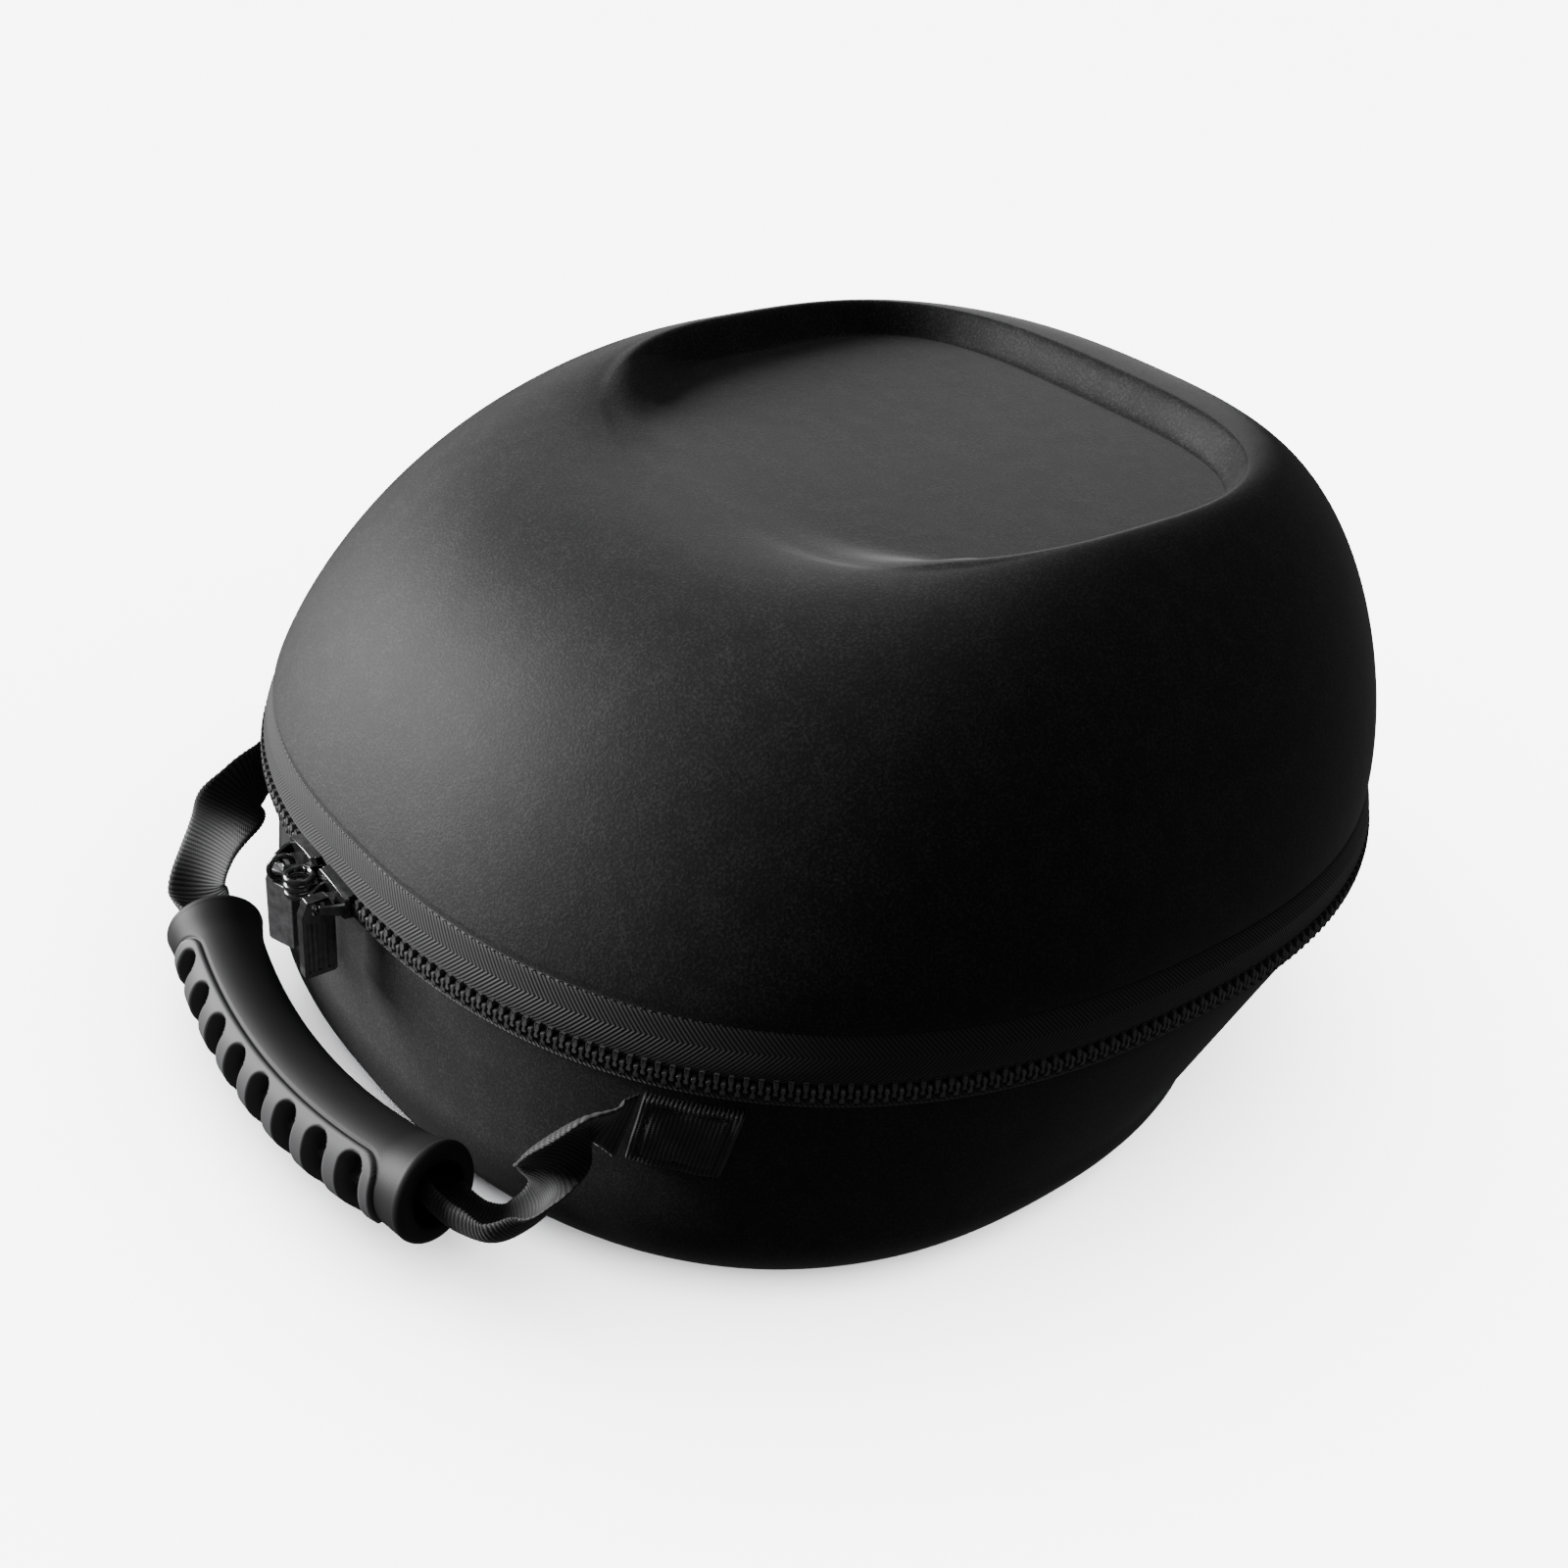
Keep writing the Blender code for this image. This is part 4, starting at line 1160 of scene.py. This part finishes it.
def build_straps(webbing):
    """Free webbing from each sewn end, round and into the grip's mouth."""
    for name, side, sign, node in (("left_webbing", "left", -1, "left_strap"),
                                   ("right_webbing", "right", 1, "right_strap")):
        rows = strap_rows[side]
        last = len(rows) - 1
        fine = [curve_value(rows, last * step / strap_samples) for step in range(strap_samples + 1)]
        spots = [0.0]
        for first, second in zip(fine, fine[1:]):
            spots.append(spots[-1] + (Vector(second[:3]) - Vector(first[:3])).length)
        count = int(spots[-1] / rib_step)
        stations = []
        for step in range(count + 1):
            spot = spots[-1] * step / count
            high = min(max(bisect.bisect_left(spots, spot), 1), strap_samples)
            part = (spot - spots[high - 1]) / max(spots[high] - spots[high - 1], 1e-9)
            values = [a + (b - a) * part for a, b in zip(fine[high - 1], fine[high])]
            stations.append((Vector(values[:3]), Vector(values[3:6]), values[6]))
        dress(name, webbing_strip(name, stations, sign), webbing, "case", "webbing", node)


def patch_point(sign, distance, level, lift):
    """Give a place on a sewn end by its distance along and level down, lifted off the shell."""
    middle, half = anchor_angles()
    angle = middle - half + 2 * half * distance / anchor_length
    share = wall_share(lip_height + anchor_drop + level)
    point = lower_point(angle, share) + shell_outward(angle, share) * lift
    return Vector((point.x * sign, point.y, point.z))


def patch_mesh(name, sign):
    """Sewn end: ribbed webbing pulled down along its box of stitches."""
    count = int(anchor_length / rib_step)
    levels = [webbing_width * place / patch_levels for place in range(patch_levels + 1)]
    levels = levels[:1] + levels + levels[-1:]
    rows = [[patch_point(sign, 0.0, level, 0.0) for level in levels]]
    uvs = []
    for step in range(count + 1):
        distance = anchor_length * step / count
        ripple = abs(math.sin(math.pi * distance / rib_pitch))
        spread = 0.0003 * (ripple - 0.5)
        row = [patch_point(sign, distance, 0.0, 0.0)]
        for place, level in enumerate(levels[1:-1]):
            box = rounded_distance(distance - anchor_length / 2, level - webbing_width / 2,
                                   anchor_length / 2 - box_side, webbing_width / 2 - box_top, 0.0005)
            press = ease(1 - abs(box) / 0.0013)
            from_edge = min(level, webbing_width - level, distance, anchor_length - distance)
            rise = patch_rise * ease(0.35 + from_edge / 0.0011) + rib_height * ripple - 0.0005 * press
            rise += 0.00025 * math.sin(distance * 520 + 1) * math.sin(level * 610)
            shift = {0: -spread, patch_levels: spread}.get(place, 0.0)
            row.append(patch_point(sign, distance, level + shift, rise))
        rows.append(row + [patch_point(sign, distance, webbing_width, 0.0)])
        uvs.append([(distance, level) for level in levels])
    rows.append([patch_point(sign, anchor_length, level, 0.0) for level in levels])
    uvs = uvs[:1] + uvs + uvs[-1:]
    if sign > 0:
        rows = [row[::-1] for row in rows]
        uvs = [marks[::-1] for marks in uvs]
    return grid_mesh(name, rows, uvs=uvs)


def sew_patch(form, sign):
    """Add a sewn end's stitches: a crossed box, and a line along three of its edges."""
    left, right = box_side, anchor_length - box_side
    low, high = box_top, webbing_width - box_top
    outer, under = anchor_length - edge_line, webbing_width - edge_line
    corners = [(left, low), (right, low), (right, high), (left, high), (left, low), (right, high)]
    lines = [*zip(corners, corners[1:]), ((left, high), (right, low)),
             ((edge_line, edge_line), (outer, edge_line)), ((edge_line, under), (outer, under)),
             ((outer, edge_line), (outer, under))]
    for (first_x, first_y), (second_x, second_y) in lines:
        reach_x = second_x - first_x
        reach_y = second_y - first_y
        outward = patch_point(sign, first_x, first_y, 0.002) - patch_point(sign, first_x, first_y, 0.001)
        count = max(int(math.hypot(reach_x, reach_y) / patch_stitch), 1)
        for number in range(count):
            ends = []
            for share in ((number + 0.12) / count, (number + 0.88) / count):
                ends.append(patch_point(sign, first_x + reach_x * share, first_y + reach_y * share,
                                        patch_stitch_lift))
            add_stitch(form, *ends, outward.normalized(), patch_thread)


def add_tail(form):
    """Add the loose thread end under the right sewn end's box of stitches."""
    right = anchor_length - box_side
    high = webbing_width - box_top
    tail = ((0.0002, 0.0, 0.0015), (0.0012, 0.0016, 0.0021), (0.0010, 0.0034, 0.0012),
            (-0.0006, 0.0044, 0.0008), (-0.0020, 0.0040, 0.0010))
    spots = [patch_point(1, right + across, high + down, lift) for across, down, lift in tail]
    sections = []
    for here, spot in enumerate(spots):
        ahead = (spots[min(here + 1, len(spots) - 1)] - spots[max(here - 1, 0)]).normalized()
        side = ahead.cross(Vector((0.3, -0.8, 0.5))).normalized()
        other = ahead.cross(side)
        sections.append([spot + (side * math.cos(turn) + other * math.sin(turn)) * tail_thread
                         for turn in circle(6)])
    add_tube(form, sections)


def build_anchors(webbing, thread):
    """Both sewn ends with their stitches, and a loose thread end on the right."""
    form = bmesh.new()
    for name, sign, node in (("left_patch", -1, "left_strap_anchor"),
                             ("right_patch", 1, "right_strap_anchor")):
        dress(name, patch_mesh(name, sign), webbing, "case", "webbing", node)
        sew_patch(form, sign)
    add_tail(form)
    dress("patch_stitches", from_form("patch_stitches", form), thread, "case", "webbing")


# Studio


def add_light(name, kind, power, place, target, size=1.0, size_y=None):
    """Add a light that looks at a target."""
    data = bpy.data.lights.new(name, kind)
    data.energy = power
    if kind == "AREA":
        data.shape = "RECTANGLE"
        data.size = size
        data.size_y = size if size_y is None else size_y
    lamp = bpy.data.objects.new(name, data)
    bpy.context.scene.collection.objects.link(lamp)
    lamp.location = place
    lamp.rotation_euler = (Vector(target) - Vector(place)).to_track_quat("-Z", "Y").to_euler()
    return lamp


def build_studio():
    """Camera at the photograph's angle, pale floor and soft light from the left."""
    camera_data = bpy.data.cameras.new("camera")
    camera_data.lens = 43.195
    camera_data.sensor_width = 36.0
    camera = bpy.data.objects.new("camera", camera_data)
    bpy.context.scene.collection.objects.link(camera)
    ahead = Vector((-0.6277, 0.5622, -0.5385)).normalized()
    level = Vector((0.667, 0.745, 0.0)).normalized()
    rise = level.cross(ahead).normalized()
    roll = math.radians(6.006)
    right = level * math.cos(roll) + rise * math.sin(roll)
    up = rise * math.cos(roll) - level * math.sin(roll)
    matrix = Matrix((right, up, -ahead)).transposed().to_4x4()
    matrix.translation = Vector((0.35316, -0.32928, 0.36120))
    camera.matrix_world = matrix
    bpy.context.scene.camera = camera

    mesh = bpy.data.meshes.new("floor")
    reach = 7.0
    mesh.from_pydata([(-reach, -reach, -0.0004), (reach, -reach, -0.0004), (reach, reach, -0.0004),
                      (-reach, reach, -0.0004)], [], [(0, 1, 2, 3)])
    mesh.materials.append(make_clouded("studio_floor", 3, ((0.0, 0.80), (1.0, 0.82)), Roughness=0.9))
    floor = bpy.data.objects.new("floor", mesh)
    bpy.context.scene.collection.objects.link(floor)
    floor.visible_diffuse = False
    floor.visible_glossy = False

    target = (-0.02, -0.03, 0.09)
    key = add_light("key", "AREA", 70, (-1.10, -1.00, 0.55), target, 0.9, 0.7)
    top = add_light("top", "AREA", 3.5, (-0.2, 0.2, 1.6), target, 1.2)
    wash = add_light("wash", "SUN", 30.0, (0, 0, 3), (0, 0, 0))
    wash.data.angle = math.radians(120)
    spared = bpy.data.collections.new("not_the_floor")
    spared.objects.link(floor)
    spared.collection_objects[0].light_linking.link_state = "EXCLUDE"
    for lamp in (key, top):
        lamp.light_linking.receiver_collection = spared
    only = bpy.data.collections.new("the_floor")
    only.objects.link(floor)
    wash.light_linking.receiver_collection = only

    world = bpy.data.worlds.new("studio")
    bpy.context.scene.world = world
    world.use_nodes = True
    tree = world.node_tree
    background = tree.nodes["Background"]
    background.inputs["Color"].default_value = (1, 1, 1, 1)
    path = tree.nodes.new("ShaderNodeLightPath")
    strength = maths(tree, "ADD", maths(tree, "MULTIPLY", path.outputs["Is Camera Ray"], 8.0), 0.10)
    tree.links.new(strength, background.inputs["Strength"])


def main():
    """Dress the bag."""
    fabric = make_shell_fabric()
    tape = make_tape()
    cloth = make_cloth()
    resin = make_clouded("dressed_zip_resin", 700, ((0.3, 0.055), (0.7, 0.090)), (2500, 0.00005, 0.4),
                         Roughness=0.36)
    metal = make_metal("dressed_slider_metal", 0.10, 0.20)
    satin = make_metal("dressed_tab_metal", 0.20, 0.46)
    webbing = make_webbing()
    rubber = make_rubber()
    thread = make_clouded("dressed_thread", 3000, ((0.3, 0.002), (0.7, 0.007)), (3000, 0.00006, 0.6),
                          Roughness=0.55)
    build_studio()
    build_lid(fabric)
    build_lower(fabric)
    build_tapes(tape)
    build_hinge(cloth)
    build_seams(thread)
    build_teeth(resin)
    build_sliders(metal)
    build_tabs(metal, satin)
    build_grip(rubber)
    build_core(webbing)
    build_straps(webbing)
    build_anchors(webbing, thread)


main()
